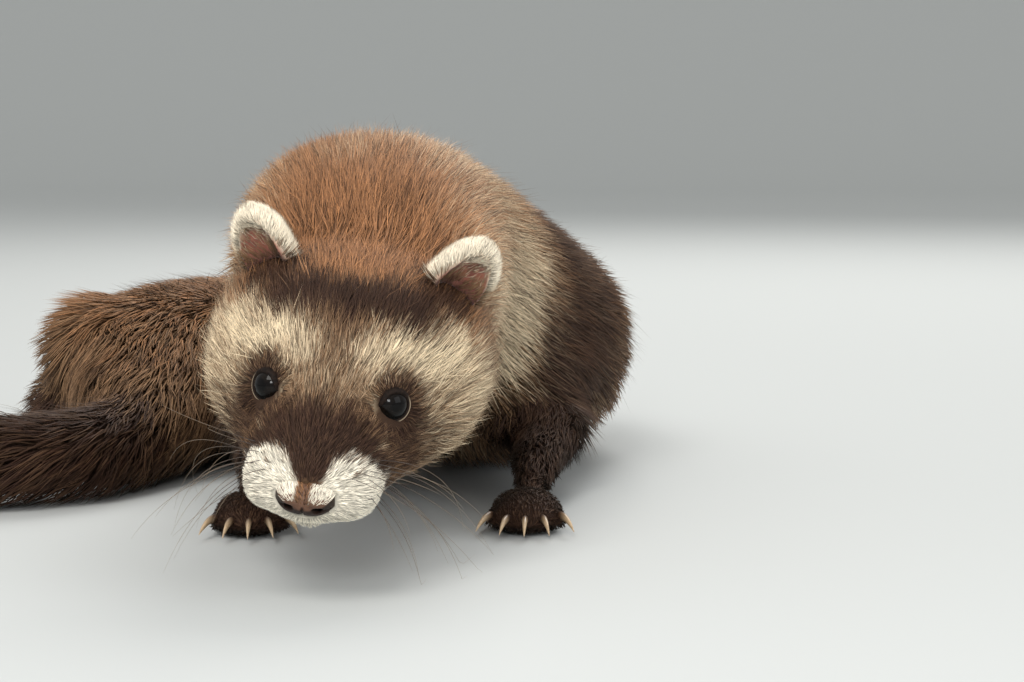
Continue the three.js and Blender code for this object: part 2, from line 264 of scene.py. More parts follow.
print("squares between 3 rings of 8 points:", len(ring_faces(3, 8)))

# %% [markdown]
# ## The head's own frame
# Eyes, nose, ears and markings are easiest to place on a head that looks straight ahead. So they are given
# in millimetres along the head's own directions, x to its left, y backwards and z up, and one matrix tilts
# them into place.

# %% Head frame
def turn_about(axis, degrees):
    """A turn about one axis as a matrix."""
    return np.array(Matrix.Rotation(math.radians(degrees), 3, axis))


HEAD_AXES = turn_about("Z", -7) @ turn_about("X", 25) @ turn_about("Y", 9.5)
HEAD_ORIGIN = np.array(HEAD_CENTRE)


def to_head(points):
    """Places in the scene, in metres, as millimetres in the head's frame."""
    return (points - HEAD_ORIGIN) @ HEAD_AXES / MM


def from_head(points):
    """The way back, from the head's frame to the scene."""
    return np.asarray(points, float) @ HEAD_AXES.T * MM + HEAD_ORIGIN


EYE_CENTRE = np.array([11.2, -13.6, 4.4])
EYE_LOOK = unit(np.array([0.6, -0.7, 0.38]))
NOSE_TIP = np.array([0.0, -39.0, -3.0])
MIRROR = np.array([-1, 1, 1])
print("left eye in the scene:", from_head(EYE_CENTRE).round(4))

# %% [markdown]
# ## The skeleton lines
# Hairs lie along the body, from the head to the tail and down each leg. So the coat needs to know, at every
# spot of skin, which limb it is on and which way that limb runs. These are the lines the solids were built
# on, in millimetres before the model was centred, with the limb's half width.

# %% Lines through the trunk and legs
SOLIDS_SHIFT = np.array([40.7151, -103.7187, 0])
SPINE = [
    (0, 8, 43, 17), (2.3, 27, 50, 26.3), (2.3, 48, 57, 28.7), (2.6, 70, 58, 31.2), (8, 96, 52, 34),
    (21, 129, 42, 34.5), (32, 163, 33, 32), (23, 196, 27, 29), (-7, 211, 25, 28), (-38, 201, 25, 28),
    (-53, 174, 25, 28), (-57, 148, 24, 26),
    (-58, 124, 18.5, 19), (-61, 107, 14, 13), (-69, 92, 12, 12), (-83, 82, 11.5, 12), (-101, 78, 11.5, 12),
    (-119, 81, 11.5, 12), (-135, 88, 10.5, 9.5), (-146, 94, 9.5, 3),
]
LEG_RADII = {"fore": [6, 13, 13.5, 10.5, 8.5, 6.5], "hind": [6, 16, 16, 11.5, 8.8, 6]}
LEGS = {
    "foreleg_left": [
        (16, 92, 50), (32, 106, 36), (44, 116, 24), (45, 120, 20), (41, 92, 14), (38, 62, 8)],
    "foreleg_right": [
        (-2, 90, 50), (-16, 104, 36), (-27, 114, 24), (-28, 118, 20), (-25, 90, 14), (-24, 60, 8)],
    "hindleg_left": [
        (-66, 136, 32), (-76, 158, 29), (-84, 176, 22), (-87, 186, 20), (-88, 162, 13), (-88, 136, 8)],
    "hindleg_right": [
        (-48, 134, 32), (-38, 154, 29), (-30, 168, 22), (-27, 176, 20), (-26, 154, 13), (-25, 130, 8)],
}
PAWS = {  # the middle of each paw, the way it points in degrees, its length and its half width
    "forepaw_left": ((37, 52), 178, 22, 8.6),
    "forepaw_right": ((-24, 49), 184, 22, 8.6),
    "hindpaw_left": ((-89, 160), 4, 46, 7.6),
    "hindpaw_right": ((-25, 152), -4, 46, 7.6),
}
PAW_HEIGHT = 4  # of the line through its middle
PAW_ROUND = 9  # from that line to its surface
TAIL = 12.6  # where the tail starts, counted in the spine's points


def nearest_on(line, radii, points):
    """For each point: the gap to a limb's surface, the place along it, its centre there and its direction."""
    line = np.asarray(line, float)
    radii = np.asarray(radii, float)
    best = {"gap": np.full(len(points), 1e9), "place": np.zeros(len(points)),
            "centre": np.zeros((len(points), 3)), "run": np.zeros((len(points), 3))}
    for i, (a, b) in enumerate(zip(line[:-1], line[1:])):
        step = b - a
        t = np.clip((points - a) @ step / (step @ step), 0, 1)
        centre = a + t[:, None] * step
        gap = np.linalg.norm(points - centre, axis=1) - (radii[i] + t * (radii[i + 1] - radii[i]))
        closer = gap < best["gap"]
        run = np.tile(unit(step), (len(points), 1))
        for key, value in {"gap": gap, "place": i + t, "centre": centre, "run": run}.items():
            best[key][closer] = value[closer]
    return best


def on_paw(points, paw):
    """Offsets from a paw's middle, the way it points, and the gap to its surface."""
    (x, y), heading, length, _ = paw
    heading = math.radians(heading)
    ahead = np.array([-math.sin(heading), math.cos(heading), 0])
    offset = points - (x, y, PAW_HEIGHT)
    along = np.clip(offset @ ahead, -length / 2, length / 2)
    return offset, ahead, np.linalg.norm(offset - np.outer(along, ahead), axis=1) - PAW_ROUND


spine_line = np.array([row[:3] for row in SPINE], float)
spine_radii = [row[3] for row in SPINE]
print("spine length:", round(float(np.linalg.norm(np.diff(spine_line, axis=0), axis=1).sum())), "mm")

# %% [markdown]
# Five toes spread like a fan across the front of each paw. The claws need to know where each toe ends.

# %% Toes
TOE_FAN = 0.42  # radians to each side
TOE_RADIUS = 2.9
TOE_LENGTH = {"fore": 5, "hind": 6}  # between its round ends
TOES_ACROSS = 0.72  # the share of the paw's half width
TOES_AHEAD = 0.34  # the share of the paw's length
OUTER_TOES_BACK = 0.22
TOES = []  # each toe's middle, the way it points, and its length
for name, ((x, y), heading, length, half) in PAWS.items():
    turn = turn_about("Z", heading)
    for share in (-1, -0.5, 0, 0.5, 1):
        forward = length * (TOES_AHEAD - OUTER_TOES_BACK * share ** 2)
        toe_middle = turn @ (share * half * TOES_ACROSS, forward, 0) + (x, y, TOE_RADIUS)
        ahead = turn @ (math.sin(share * TOE_FAN), math.cos(share * TOE_FAN), 0)
        TOES.append((toe_middle, ahead, TOE_LENGTH[name[:4]]))
print("toes:", len(TOES))

# %% [markdown]
# ## One skin for the whole body
# The solids have thin gaps between them and flat facets. The skin is made the way a sculptor starts: all
# parts are grown a little so that they touch, joined, and remeshed with even small squares, which melts
# them into one surface. A few rounds of averaging then take the facets away. It would also work with
# metaballs, but those lose the outline that the solids were fitted to.

# %% Join and remesh
FLESH = [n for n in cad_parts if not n.startswith(("eye", "nose", "ear"))]
GROWTH = 0.4 * MM
VOXEL = 1.15 * MM


def grown_copy(target, names, growth):
    """Adds copies of the solids to one bmesh, each pushed out along its normals."""
    for name in names:
        part = bmesh.new()
        part.from_mesh(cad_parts[name].data)
        bmesh.ops.remove_doubles(part, verts=part.verts, dist=1e-6)
        part.normal_update()
        for v in part.verts:
            v.co += v.normal * growth
        copy = bpy.data.meshes.new("copy")
        part.to_mesh(copy)
        part.free()
        target.from_mesh(copy)
        bpy.data.meshes.remove(copy)


def remeshed(name, names, growth, voxel):
    """The joined solids as one closed mesh of small squares: its points and its faces of four."""
    joined = bmesh.new()
    grown_copy(joined, names, growth)
    mesh = bpy.data.meshes.new(name)
    joined.to_mesh(mesh)
    joined.free()
    ob = bpy.data.objects.new(name, mesh)
    SCENE.collection.objects.link(ob)
    modifier = ob.modifiers.new("remesh", "REMESH")
    modifier.mode = "VOXEL"
    modifier.voxel_size = voxel
    result = ob.evaluated_get(bpy.context.evaluated_depsgraph_get()).to_mesh()
    points = rows(result, "vertices", "co", 3).astype(float)
    faces = rows(result, "loops", "vertex_index", 1, np.int32).reshape(-1, 4).copy()
    bpy.data.objects.remove(ob)
    return points, faces


def edges_of(faces):
    """Each pair of neighbouring points, once."""
    sides = np.sort(np.stack([faces, np.roll(faces, -1, axis=1)], -1).reshape(-1, 2), axis=1)
    return np.unique(sides, axis=0)


def spread(values, edges, rounds, amount=0.5):
    """Averages values over neighbouring points, again and again. Amount may differ from point to point."""
    count = np.bincount(edges.ravel(), minlength=len(values)).astype(float)[:, None]
    out = values.reshape(len(values), -1).astype(float)
    amount = np.broadcast_to(np.asarray(amount, float).reshape(-1, 1), (len(values), 1))
    for _ in range(rounds):
        total = np.stack([np.bincount(edges[:, 0], column[edges[:, 1]], len(out)) +
                          np.bincount(edges[:, 1], column[edges[:, 0]], len(out)) for column in out.T], 1)
        out += amount * (total / np.maximum(count, 1) - out)
    return out.reshape(values.shape)


def normals_of(points, faces):
    """The way the surface faces at each point."""
    a, b, c, d = (points[faces[:, i]] for i in range(4))
    across = np.cross(c - a, d - b)
    total = [np.bincount(faces.ravel(), np.repeat(across[:, i], 4), len(points)) for i in range(3)]
    return unit(np.stack(total, 1))


def facing_out(points, faces):
    """The faces of a closed mesh, turned so that its normals point outwards, and those normals."""
    normals = normals_of(points, faces)
    if dot(normals, points - points.mean(0)).mean() < 0:
        return faces[:, ::-1].copy(), -normals
    return faces, normals


BODY = [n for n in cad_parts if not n.startswith("ear")]
skin_points, skin_faces = remeshed("skin", BODY, GROWTH, VOXEL)
skin_edges = edges_of(skin_faces)
print("skin:", len(skin_points), "points,", len(skin_faces), "squares")

# %% [markdown]
# The averaging is strong on the trunk and gentle on the face and feet, which would lose their toes and
# muzzle. The solids' claws are drawn back into the toes, because finer ones follow later.

# %% Smooth the facets away
SMOOTH_ROUNDS = 36
CLAW_REACH = 8  # how far the solids' claws stand out of the toes, at most
CLAW_ROUND = 2.3

in_head = to_head(skin_points)
solids_mm = skin_points / MM - SOLIDS_SHIFT
from_paws = [np.linalg.norm(on_paw(solids_mm, paw)[0][:, :2], axis=1) / paw[2] for paw in PAWS.values()]
near_foot = np.min(from_paws, axis=0)
on_foot = ramp(-near_foot, -0.85, -0.6) * ramp(-solids_mm[:, 2], -13, -9)
on_face = ramp(-in_head[:, 1], -4, 16)
on_face *= ramp(-np.abs(in_head[:, 2]), -30, -22)
on_face *= ramp(-np.abs(in_head[:, 0]), -34, -26)
softness = 0.5 * (1 - 0.88 * np.maximum(on_face, on_foot))
skin_points = spread(skin_points, skin_edges, SMOOTH_ROUNDS, softness)
solids_mm = skin_points / MM - SOLIDS_SHIFT
for toe_middle, ahead, length in TOES:
    offset = solids_mm - toe_middle
    along = offset @ ahead
    aside = np.linalg.norm(offset - np.outer(along, ahead), axis=1)
    end = length / 2 + TOE_RADIUS - 0.7
    claw = (along > end) & (along < end + CLAW_REACH) & (aside < CLAW_ROUND)
    skin_points[claw] -= ahead * (along[claw] - end)[:, None] * MM
skin_points = spread(skin_points, skin_edges, 4, 0.5 * on_foot)
skin_faces, skin_normals = facing_out(skin_points, skin_faces)
print("height after smoothing:", round(float(np.ptp(skin_points[:, 2])) / MM, 1), "mm")

# %% [markdown]
# ## Which limb, and which way it runs
# Each spot of skin takes the limb whose surface is nearest. On the head the hair parts at the nose and
# flows back over the brow and cheeks. On the trunk it follows the spine and sinks towards the floor, and on
# legs it runs to the paws.

# %% Limb and flow at every point of the skin
AT_PAW = 6  # a leg's last place, where its paw begins

in_head = to_head(skin_points)
solids_mm = skin_points / MM - SOLIDS_SHIFT
trunk = nearest_on(spine_line, spine_radii, solids_mm)
place = trunk["place"]
leg_gap = np.full(len(solids_mm), 1e9)
leg_run = np.zeros((len(solids_mm), 3))
leg_place = np.zeros(len(solids_mm))
for name, line in LEGS.items():
    found = nearest_on(line, LEG_RADII[name[:4]], solids_mm)
    closer = found["gap"] < leg_gap
    for values, key in ((leg_gap, "gap"), (leg_run, "run"), (leg_place, "place")):
        values[closer] = found[key][closer]
for paw in PAWS.values():
    _, ahead, gap = on_paw(solids_mm, paw)
    closer = gap < np.minimum(leg_gap, 4)
    leg_gap[closer] = gap[closer]
    leg_run[closer] = ahead
    leg_place[closer] = AT_PAW
back = in_head[:, 1]
on_head = ramp(-back, -36, -20) * ramp(-np.linalg.norm(in_head * (1, 0.5, 1), axis=1), -44, -34)
on_leg = ramp(trunk["gap"] - leg_gap, -1.5, 2.5) * (1 - on_head)
print("share of skin on the head and legs:", [round(float(v.mean()), 2) for v in (on_head, on_leg)])

# %% Which way the hair lies
SINKING = np.array([0, 0, -0.35])  # how much the hair of the trunk turns towards the floor

head_flow = unit(in_head - NOSE_TIP) * (1, 1, 1.1) @ HEAD_AXES.T
flow = unit(trunk["run"] + SINKING) * (1 - on_leg)[:, None] + leg_run * on_leg[:, None]
flow = flow * (1 - on_head)[:, None] + head_flow * on_head[:, None]
on_rump = ramp(place, 5, 8) * (1 - on_head)
flow = spread(spread(flow, skin_edges, 12), skin_edges, 300, 0.5 * on_rump)
flow = unit(flow - skin_normals * dot(flow, skin_normals))
print("the hair runs along", flow.mean(0).round(2), "on average")

# %% [markdown]
# ## Room for the coat
# The solids were fitted to the outline of the fur, so the skin has to lie inside them by the depth of the
# coat: hardly at all round the eyes and on the feet, and most over the neck and shoulders. The tables give
# it at places behind the nose, along the spine and down the legs.

# %% Coat depth, then the skin moves in
EYE_BALL = 4.2  # radius
EYE_SUNK = 0.5
HEAD_DEPTH = [(-40, 0.5), (-33, 0.8), (-24, 1.4), (-12, 2.4), (4, 3.4), (18, 4.4), (34, 6)]
TRUNK_DEPTH = [(0, 5), (1, 6), (2, 8), (3.2, 9), (5, 7.5), (8, 5.4), (10, 4.6), (TAIL, 4.6),
               (15, 4.4), (19, 3)]
LEG_DEPTH = [(0, 4.8), (2, 4.2), (3.5, 3.2), (5, 2.2), (5.9, 1.6), (AT_PAW, 0.8)]
THINNEST = 0.8

left_eye = EYE_CENTRE - EYE_LOOK * EYE_SUNK
eye_places = {1: left_eye, -1: left_eye * MIRROR}
to_eye = np.min([np.linalg.norm(in_head - centre, axis=1) for centre in eye_places.values()], axis=0)


def table(x, pairs):
    """Reads a table of pairs at x, with straight lines between them."""
    return np.interp(x, *np.transpose(pairs))


def by_limb(for_trunk, for_legs, for_head):
    """Blends what belongs to the trunk, the legs and the head, at each point of the skin."""
    leg = on_leg.reshape(-1, *[1] * (for_trunk.ndim - 1))
    head = on_head.reshape(leg.shape)
    return (for_trunk * (1 - leg) + for_legs * leg) * (1 - head) + for_head * head


head_depth = THINNEST + (table(back, HEAD_DEPTH) - THINNEST) * ramp(to_eye, 6, 13)
depth = spread(by_limb(table(place, TRUNK_DEPTH), table(leg_place, LEG_DEPTH), head_depth), skin_edges, 14)
skin_points = skin_points - skin_normals * ((depth * MM) + GROWTH)[:, None]
skin_points = spread(skin_points, skin_edges, 3, 0.5 * (1 - on_face) * (1 - on_foot))
skin_points[:, 2] = np.maximum(skin_points[:, 2], 0.25 * MM)
skin_normals = normals_of(skin_points, skin_faces)
in_head = to_head(skin_points)
print("coat depth from", round(float(depth.min()), 1), "to", round(float(depth.max()), 1), "mm")

# %% [markdown]
# ## Eye sockets and the line of the mouth
# Round each eye the skin steps back behind the ball, so that nothing pokes through the lids. The mouth is a
# fine groove that runs back from under the nose and turns up a little below the eye.

# %% Sockets and mouth groove
SLIT_HALF = 3.05  # half the opening between the lids, along it
SLIT_HIGH = 2.55  # half its height
MOUTH = np.array([(-41, -9.4), (-35, -9.7), (-28, -10.6), (-21, -10), (-14, -7.6)], float)  # back, up
MOUTH_DEEP = 0.7
SOCKET_DEEP = 1.5  # how far the skin lies behind the ball's surface
SOCKET_START = 1.04  # in slit widths from the middle of the eye
SOCKET_END = 1.24
NOSE_CENTRE = np.array([0, -36.4, -3.7])
NOSE_SIZE = np.array([5.7, 4.1, 3.1])
NOSE_ROOM = 2.6  # how far the skin steps back behind the nose


def eye_axes(side):
    """Towards the inner corner, up, and the way the eye looks, for the left (1) or right (-1) eye."""
    inner = unit(np.cross(EYE_LOOK, (0, 0, 1)))
    axes = np.array([inner, np.cross(inner, EYE_LOOK), EYE_LOOK])
    return axes * MIRROR if side < 0 else axes


def slit_edge(theta):
    """The edge of the opening between the lids, at an angle round the eye. At 0 is its pointed corner."""
    x = np.cos(theta) * SLIT_HALF + 0.4
    y = np.sin(theta) * SLIT_HIGH
    inwards = np.cos(theta)
    x = np.where(x > 0, x * (1 + 0.16 * inwards ** 8), x)
    y = y * (1 - 0.24 * ramp(inwards, 0.2, 1.0)) - 0.35 * ramp(inwards, 0.0, 1.0) - 0.3
    return x, y


def eye_view(points, side):
    """Points on the head along the eye's own directions, and how far out they are, counted in slit widths."""
    local = (points - eye_places[side]) @ eye_axes(side).T
    x, y = slit_edge(np.arctan2(local[:, 1] / SLIT_HIGH, local[:, 0] / SLIT_HALF))
    out = np.hypot(local[:, 0], local[:, 1]) / np.hypot(x, y)
    near = (local[:, 2] > -2) & (np.linalg.norm(local, axis=1) < 16)
    return local, np.where(near, out, 9.0)


def mouth_height(y):
    """How high the line of the mouth is, at places behind the nose."""
    return np.interp(y, MOUTH[:, 0], MOUTH[:, 1])


for side in (1, -1):
    local, out = eye_view(in_head, side)
    inside = (out < SOCKET_END) & (local[:, 2] > 0)
    shallow = SOCKET_DEEP * np.clip((out - SOCKET_START) / (SOCKET_END - SOCKET_START), 0, 1)
    sunk = unit(local) * (EYE_BALL - SOCKET_DEEP + shallow)[:, None]
    local[inside] = sunk[inside]
    in_head[inside] = (local @ eye_axes(side) + eye_places[side])[inside]
behind_nose = np.linalg.norm((in_head - NOSE_CENTRE) / (NOSE_SIZE * (0.97, 1.3, 0.97)), axis=1) < 1
in_head[behind_nose, 1] += NOSE_ROOM
by_mouth = (in_head[:, 1] > -42) & (in_head[:, 1] < -13.5)
to_mouth = np.where(by_mouth, np.abs(in_head[:, 2] - mouth_height(in_head[:, 1])), 9)
skin_points = from_head(in_head)
skin_points = skin_points - skin_normals * (MOUTH_DEEP * MM * ramp(-to_mouth, -1.4, -0.2) * on_face)[:, None]
print("points in the sockets:", int(sum((eye_view(in_head, s)[1] < 1.1).sum() for s in (1, -1))))

# %% [markdown]
# ## A map of the skin
# The coat's colours can be baked on a map, which follows the skin's own shape: each limb is slit along its
# underside and rolled out flat, like a hide. Smart unwrapping would do too, but it cuts this many faces into
# hundreds of islands.

# %% Unroll each limb
CHARTS = {"trunk": (0.01, 0.46, 0.98, 0.53), "head": (0.01, 0.01, 0.44, 0.43)}  # left, bottom, width, height
for i, name in enumerate(LEGS):
    CHARTS[name] = (0.47 + 0.13 * i, 0.23, 0.12, 0.21)
for i, name in enumerate(PAWS):
    CHARTS[name] = (0.47 + 0.13 * i, 0.01, 0.12, 0.2)
CHART_NAMES = list(CHARTS)


def rolled_out(offset, run, along):
    """The share of a limb's length, and the angle round it, which is 0 at its top."""
    left = unit(np.cross(run, (0, 0, 1)))
    up = np.cross(left, run)
    return np.stack([along, np.arctan2((offset * left).sum(1), (offset * up).sum(1))], 1)


solids_mm = skin_points / MM - SOLIDS_SHIFT
spine_steps = np.concatenate([[0], np.cumsum(np.linalg.norm(np.diff(spine_line, axis=0), axis=1))])
spine_share = np.interp(place, range(len(SPINE)), spine_steps / spine_steps[-1])
unrolled = {"trunk": rolled_out(solids_mm - trunk["centre"], trunk["run"], spine_share),
            "head": np.stack([(in_head[:, 1] + 42) / 90, np.arctan2(in_head[:, 0], in_head[:, 2])], 1)}
gaps = []
for name, line in LEGS.items():
    found = nearest_on(line, LEG_RADII[name[:4]], solids_mm)
    unrolled[name] = rolled_out(solids_mm - found["centre"], found["run"] + (0.01, 0, 0), found["place"] / 5)
    gaps.append(found["gap"])
for name, paw in PAWS.items():
    offset, ahead, gap = on_paw(solids_mm, paw)
    along = offset @ ahead
    straight = np.tile(ahead, (len(offset), 1))
    unrolled[name] = rolled_out(offset - np.outer(along, ahead), straight, along / (paw[2] + 24) + 0.5)
    gaps.append(gap)
print("unrolled:", ", ".join(unrolled))

# %% Lay each square on the chart of its limb
FULL_TURN = 2 * math.pi

chart_of_point = np.where(on_head > 0.5, 1, np.where(on_leg > 0.5, 2 + np.argmin(gaps, axis=0), 0))
face_chart = np.sort(chart_of_point[skin_faces], axis=1)[:, 1]
face_uv = np.zeros((*skin_faces.shape, 2))
for i, name in enumerate(CHART_NAMES):
    mine = face_chart == i
    left, bottom, width, height = CHARTS[name]
    corners = unrolled[name][skin_faces[mine]]
    angle = corners[..., 1]
    first = angle[:, :1]
    angle = angle + FULL_TURN * (first - angle > math.pi) - FULL_TURN * (angle - first > math.pi)
    face_uv[mine, :, 0] = left + width * np.clip(corners[..., 0], 0, 1)
    face_uv[mine, :, 1] = bottom + height * np.clip(angle / FULL_TURN + 0.5, -0.01, 1.01)
squares = np.bincount(face_chart, minlength=len(CHART_NAMES)).tolist()
print("squares on each chart:", dict(zip(CHART_NAMES, squares)))

# %% [markdown]
# ## The markings
# A sable ferret wears a dark mask round the eyes, a pale band over the brow, a white muzzle and darker legs
# and tail. Each marking is a soft-edged shape in the head's frame, worked out from the place on the skin,
# so that skin and hairs always agree. The ripples make the edges ragged, as growing hair does.

# %% Marking masks
def blob(points, centre, radii, soft=0.25):
    """1 inside an egg shape and 0 outside it."""
    d = np.linalg.norm((points - centre) / radii, axis=1)
    return ramp(-d, -1 - soft, -1 + soft)


def band(points, start, end, radius, soft=0.3):
    """1 inside a sausage shape and 0 outside it."""
    a = np.asarray(start, float)
    b = np.asarray(end, float)
    t = np.clip((points - a) @ (b - a) / ((b - a) @ (b - a)), 0, 1)[:, None]
    d = np.linalg.norm(points - a - t * (b - a), axis=1) / radius
    return ramp(-d, -1 - soft, -1 + soft)


def whisker_root(row, column):
    """Where a whisker grows on the left lip pad. Rows go down and columns go back."""
    x = 8.4 + 0.55 * column + 0.5 * row
    y = -34.2 + 2.1 * column + 0.5 * row
    return x, y, 0.2 - 2.1 * row - 0.25 * column


WHISKER_ROWS = 4
WHISKER_COLUMNS = 5
WHISKER_ROOTS = [whisker_root(row, column)
                 for row in range(WHISKER_ROWS) for column in range(WHISKER_COLUMNS)]
BROW = [  # how pale, from where, to where, half its width, how soft
    (0.16, (0, -14.5, 12), (7, -11.5, 12), 7.2, 0.6),
    (0.8, (9, -8.6, 12), (13.5, -3.5, 11.5), 5.8, 0.5),
    (1, (13.5, -3.5, 11.5), (19.5, 3.5, 9.5), 6.8, 0.5),
    (0.66, (20, 1, 9), (26, 6, 1), 8.5, 0.5),
    (0.5, (26, 6, 1), (25, 8, -12), 10, 0.6),
    (0.45, (21, -5, 5), (25, -3, -7), 8, 0.6),
]
# how far ahead, and half the width of the dark stripe there
STRIPE = [(18, 9), (24, 7.6), (28, 6.3), (32, 4.9), (35, 3.9), (37, 3.0), (39.5, 2.0)]
print("whisker spots on each lip pad:", len(WHISKER_ROOTS))

# %% The face
def muzzle(head, x, front, ragged):
    """How white the muzzle and chin are. A dark stripe runs down between the white pads to the nose."""
    z = head[:, 2]
    white = ramp(front + 0.594 * x - 0.436 * z + 0.9 * ragged, 32.0, 35.2)
    stripe = table(front, STRIPE) + 0.45 * ragged - np.abs(head[:, 0] + 0.3)
    stripe = ramp(stripe, -0.6, 0.9) * ramp(z, -2.4, -0.6)
    chin = ramp(front + ragged, 11, 16) * ramp(-z, 8.6, 10.6)
    return np.maximum(white * (1 - stripe), chin)


def face_markings(head):
    """White, dark, pale and warm shares on the head, from places in its frame."""
    x = np.abs(head[:, 0])
    front = -head[:, 1]
    z = head[:, 2]
    mirrored = np.stack([x, head[:, 1], z], 1)
    ragged = waves(head, 6.5, 1) + 0.7 * waves(head, 2.6, 2)
    white = muzzle(head, x, front, ragged)
    spots = np.max([blob(mirrored, root, (0.7, 0.8, 0.6), 0.5) for root in WHISKER_ROOTS], axis=0)

    round_eye = 0.86 * blob(mirrored, (13.6, -14.6, 3.4), (7.4, 8.8, 9), 0.4)
    under_eye = 0.75 * band(mirrored, (17, -15, -5), (22, -9, -4.5), 5.4, 0.5)
    face = 0.94 * ramp(front + 0.8 * ragged, 16, 23.5) * ramp(-z, -16, -12)
    face *= 1 - 0.6 * ramp(front, 35.5, 38)
    dark = np.maximum.reduce([round_eye, under_eye, face])

    behind = head[:, 1] - 0.4 * x  # the crown's band bends forward at its ends
    fore_edge = ramp(behind + 1.3 * ragged, -7.5, -0.5)
    rear_edge = ramp(-behind + ragged, -12.5, -5.5)
    crown = 0.97 * fore_edge * rear_edge * ramp(-x, -21, -14)
    by_ear = 0.95 * blob(mirrored, (17.6, 15.5, 14), (8.4, 7, 7.5), 0.5)
    crown = np.maximum(crown, by_ear) * ramp(z, 0, 5)
    brow = np.max([share * band(mirrored, *shape) for share, *shape in BROW], axis=0)
    brow *= (1 - crown) * (1 - 0.9 * blob(mirrored, (13.8, -14, 6), (6.4, 7.4, 7.4), 0.35))
    dark = np.maximum(dark * (1 - 0.85 * brow * ramp(-front, -18, -12)), crown)
    forehead = 0.34 * blob(mirrored, (0, -9, 14), (9.5, 10, 7), 0.6)
    nape = 0.24 * ramp(head[:, 1], 8, 16)
    dark = np.maximum.reduce([dark, forehead * (1 - 0.6 * brow), nape])

    for side in (1, -1):  # small pale tufts at the corners of the eyes
        local, _ = eye_view(head, side)
        patch = blob(local * (1, 1, 0.4), (4.9, 1.6, 1.2), (1.2, 1.9, 1.5), 0.6)
        flecks = blob(local * (1, 1, 0.2), (5.6, -5.6, 0.6), (1.3, 0.9, 1.5), 0.7)
        tuft = np.maximum(0.65 * patch, 0.3 * flecks)
        brow = np.maximum(brow, tuft)
        dark = dark * (1 - 0.8 * tuft)
    warm = ramp(-front, 2, 13) * ramp(z, 2, 10) * (1 - 0.6 * crown)
    dark = np.maximum(dark * (1 - white), 0.7 * spots * white)
    return np.stack([white * (1 - 0.7 * spots), dark, brow * (1 - white), warm], 1)


print("markings at the nose tip:", face_markings(NOSE_TIP[None]).round(2)[0])

# %% The body, then both together
WARMTH = [(1, 1), (1.9, 0.8), (3, 0.42), (5, 0.5), (9, 0.5), (12, 0.6)]  # place along the spine, how warm


def body_markings(solids, place, on_leg, leg_place):
    """The same four shares on the trunk, legs and tail."""
    height = solids[:, 2]
    outward = np.abs(solids[:, 0] - 2)
    ragged = waves(solids, 26, 3)
    tail = ramp(place + 0.1 * ragged, TAIL - 1.2, TAIL + 1)
    shoulder = 0.92 * ramp(place + 0.12 * ragged, 3.8, 4.5) * ramp(-place, -6.8, -5.2) * ramp(outward, 23, 37)
    nape = 0.28 * ramp(-place, -2.8, -0.8) * ramp(-outward, -26, -10)
    rump = 0.1 * ramp(place, 10, 11.5)
    low = ramp(-height, -16, -4) * 0.5
    legs = on_leg * ramp(leg_place + 0.2 * ragged, 0.2, 2.8)
    dark = np.maximum.reduce([0.92 * tail, shoulder, nape, rump, low, 0.12 + 0.1 * ragged, 0.94 * legs])
    warm = table(place, WARMTH) * ramp(height + 3 * ragged, 18, 46)
    neck = (0.85 - 0.55 * ramp(height, 50, 64)) * ramp(outward, 12, 25)
    neck = neck * ramp(-place - 0.1 * ragged, -4.5, -3.7) * ramp(height + 2 * ragged, 18, 34)
    streaks = ramp(waves(solids, 17, 4) + waves(solids, 40, 5), -0.8, 1.4)
    grizzled = (0.2 + 0.16 * ramp(-place, -5, -3.6)) * ramp(place, 1.4, 2.6) * ramp(-place, -10, -7) * streaks
    pale = np.maximum(neck, grizzled * (1 - legs) * (1 - tail))
    return np.stack([np.zeros(len(place)), dark, pale, warm], 1)


def markings(points, place, on_leg, leg_place, on_head):
    """The shares at any points, on the skin or above it, that belong to the given places on the limbs."""
    face = face_markings(to_head(points))
    body = body_markings(points / MM - SOLIDS_SHIFT, place, on_leg, leg_place)
    return body + (face - body) * on_head[:, None]


skin_marks = markings(skin_points, place, on_leg, leg_place, on_head)
bare = ramp(-to_eye, -7.2, -5.6)[:, None]  # dark skin round the eyes
skin_marks = skin_marks * (1 - bare) + bare * (0, 0.95, 0, 0)
print("share of white, dark, pale and warm skin:", skin_marks.mean(0).round(2))

# %% [markdown]
# ## The coat's colours
# One node group mixes the colours for skin and hairs alike. Each hair carries two colour attributes:
# `marking` says how white, dark, pale and warm its place is, and `strand` says how near the tip a point is
# and how light this hair is. Every hair is painted darker towards the root, as painted shade deep in the
# coat, and a few hairs keep a dark tip, which gives the sable its smoky look.

# %% Helpers for materials
def paint(code):
    """A colour from its six-digit code, as the linear values that shaders use."""
    values = [int(code[i:i + 2], 16) / 255 for i in (0, 2, 4)]
    return (*[v / 12.92 if v <= 0.04045 else ((v + 0.055) / 1.055) ** 2.4 for v in values], 1)


def new_group(name, inputs, outputs):
    """A node group with named inputs and their values, and named outputs and their kinds."""
    group = bpy.data.node_groups.new(name, "ShaderNodeTree")
    for socket, value in inputs.items():
        kind = "NodeSocketColor" if isinstance(value, tuple) else "NodeSocketFloat"
        group.interface.new_socket(socket, in_out="INPUT", socket_type=kind).default_value = value
    for socket, kind in outputs.items():
        group.interface.new_socket(socket, in_out="OUTPUT", socket_type=kind)
    return group, group.nodes.new("NodeGroupInput"), group.nodes.new("NodeGroupOutput")


def fill(tree, socket, value):
    """Links a socket to another one, or sets it to a plain value."""
    if isinstance(value, bpy.types.NodeSocket):
        link(tree, value, socket)
    else:
        socket.default_value = value


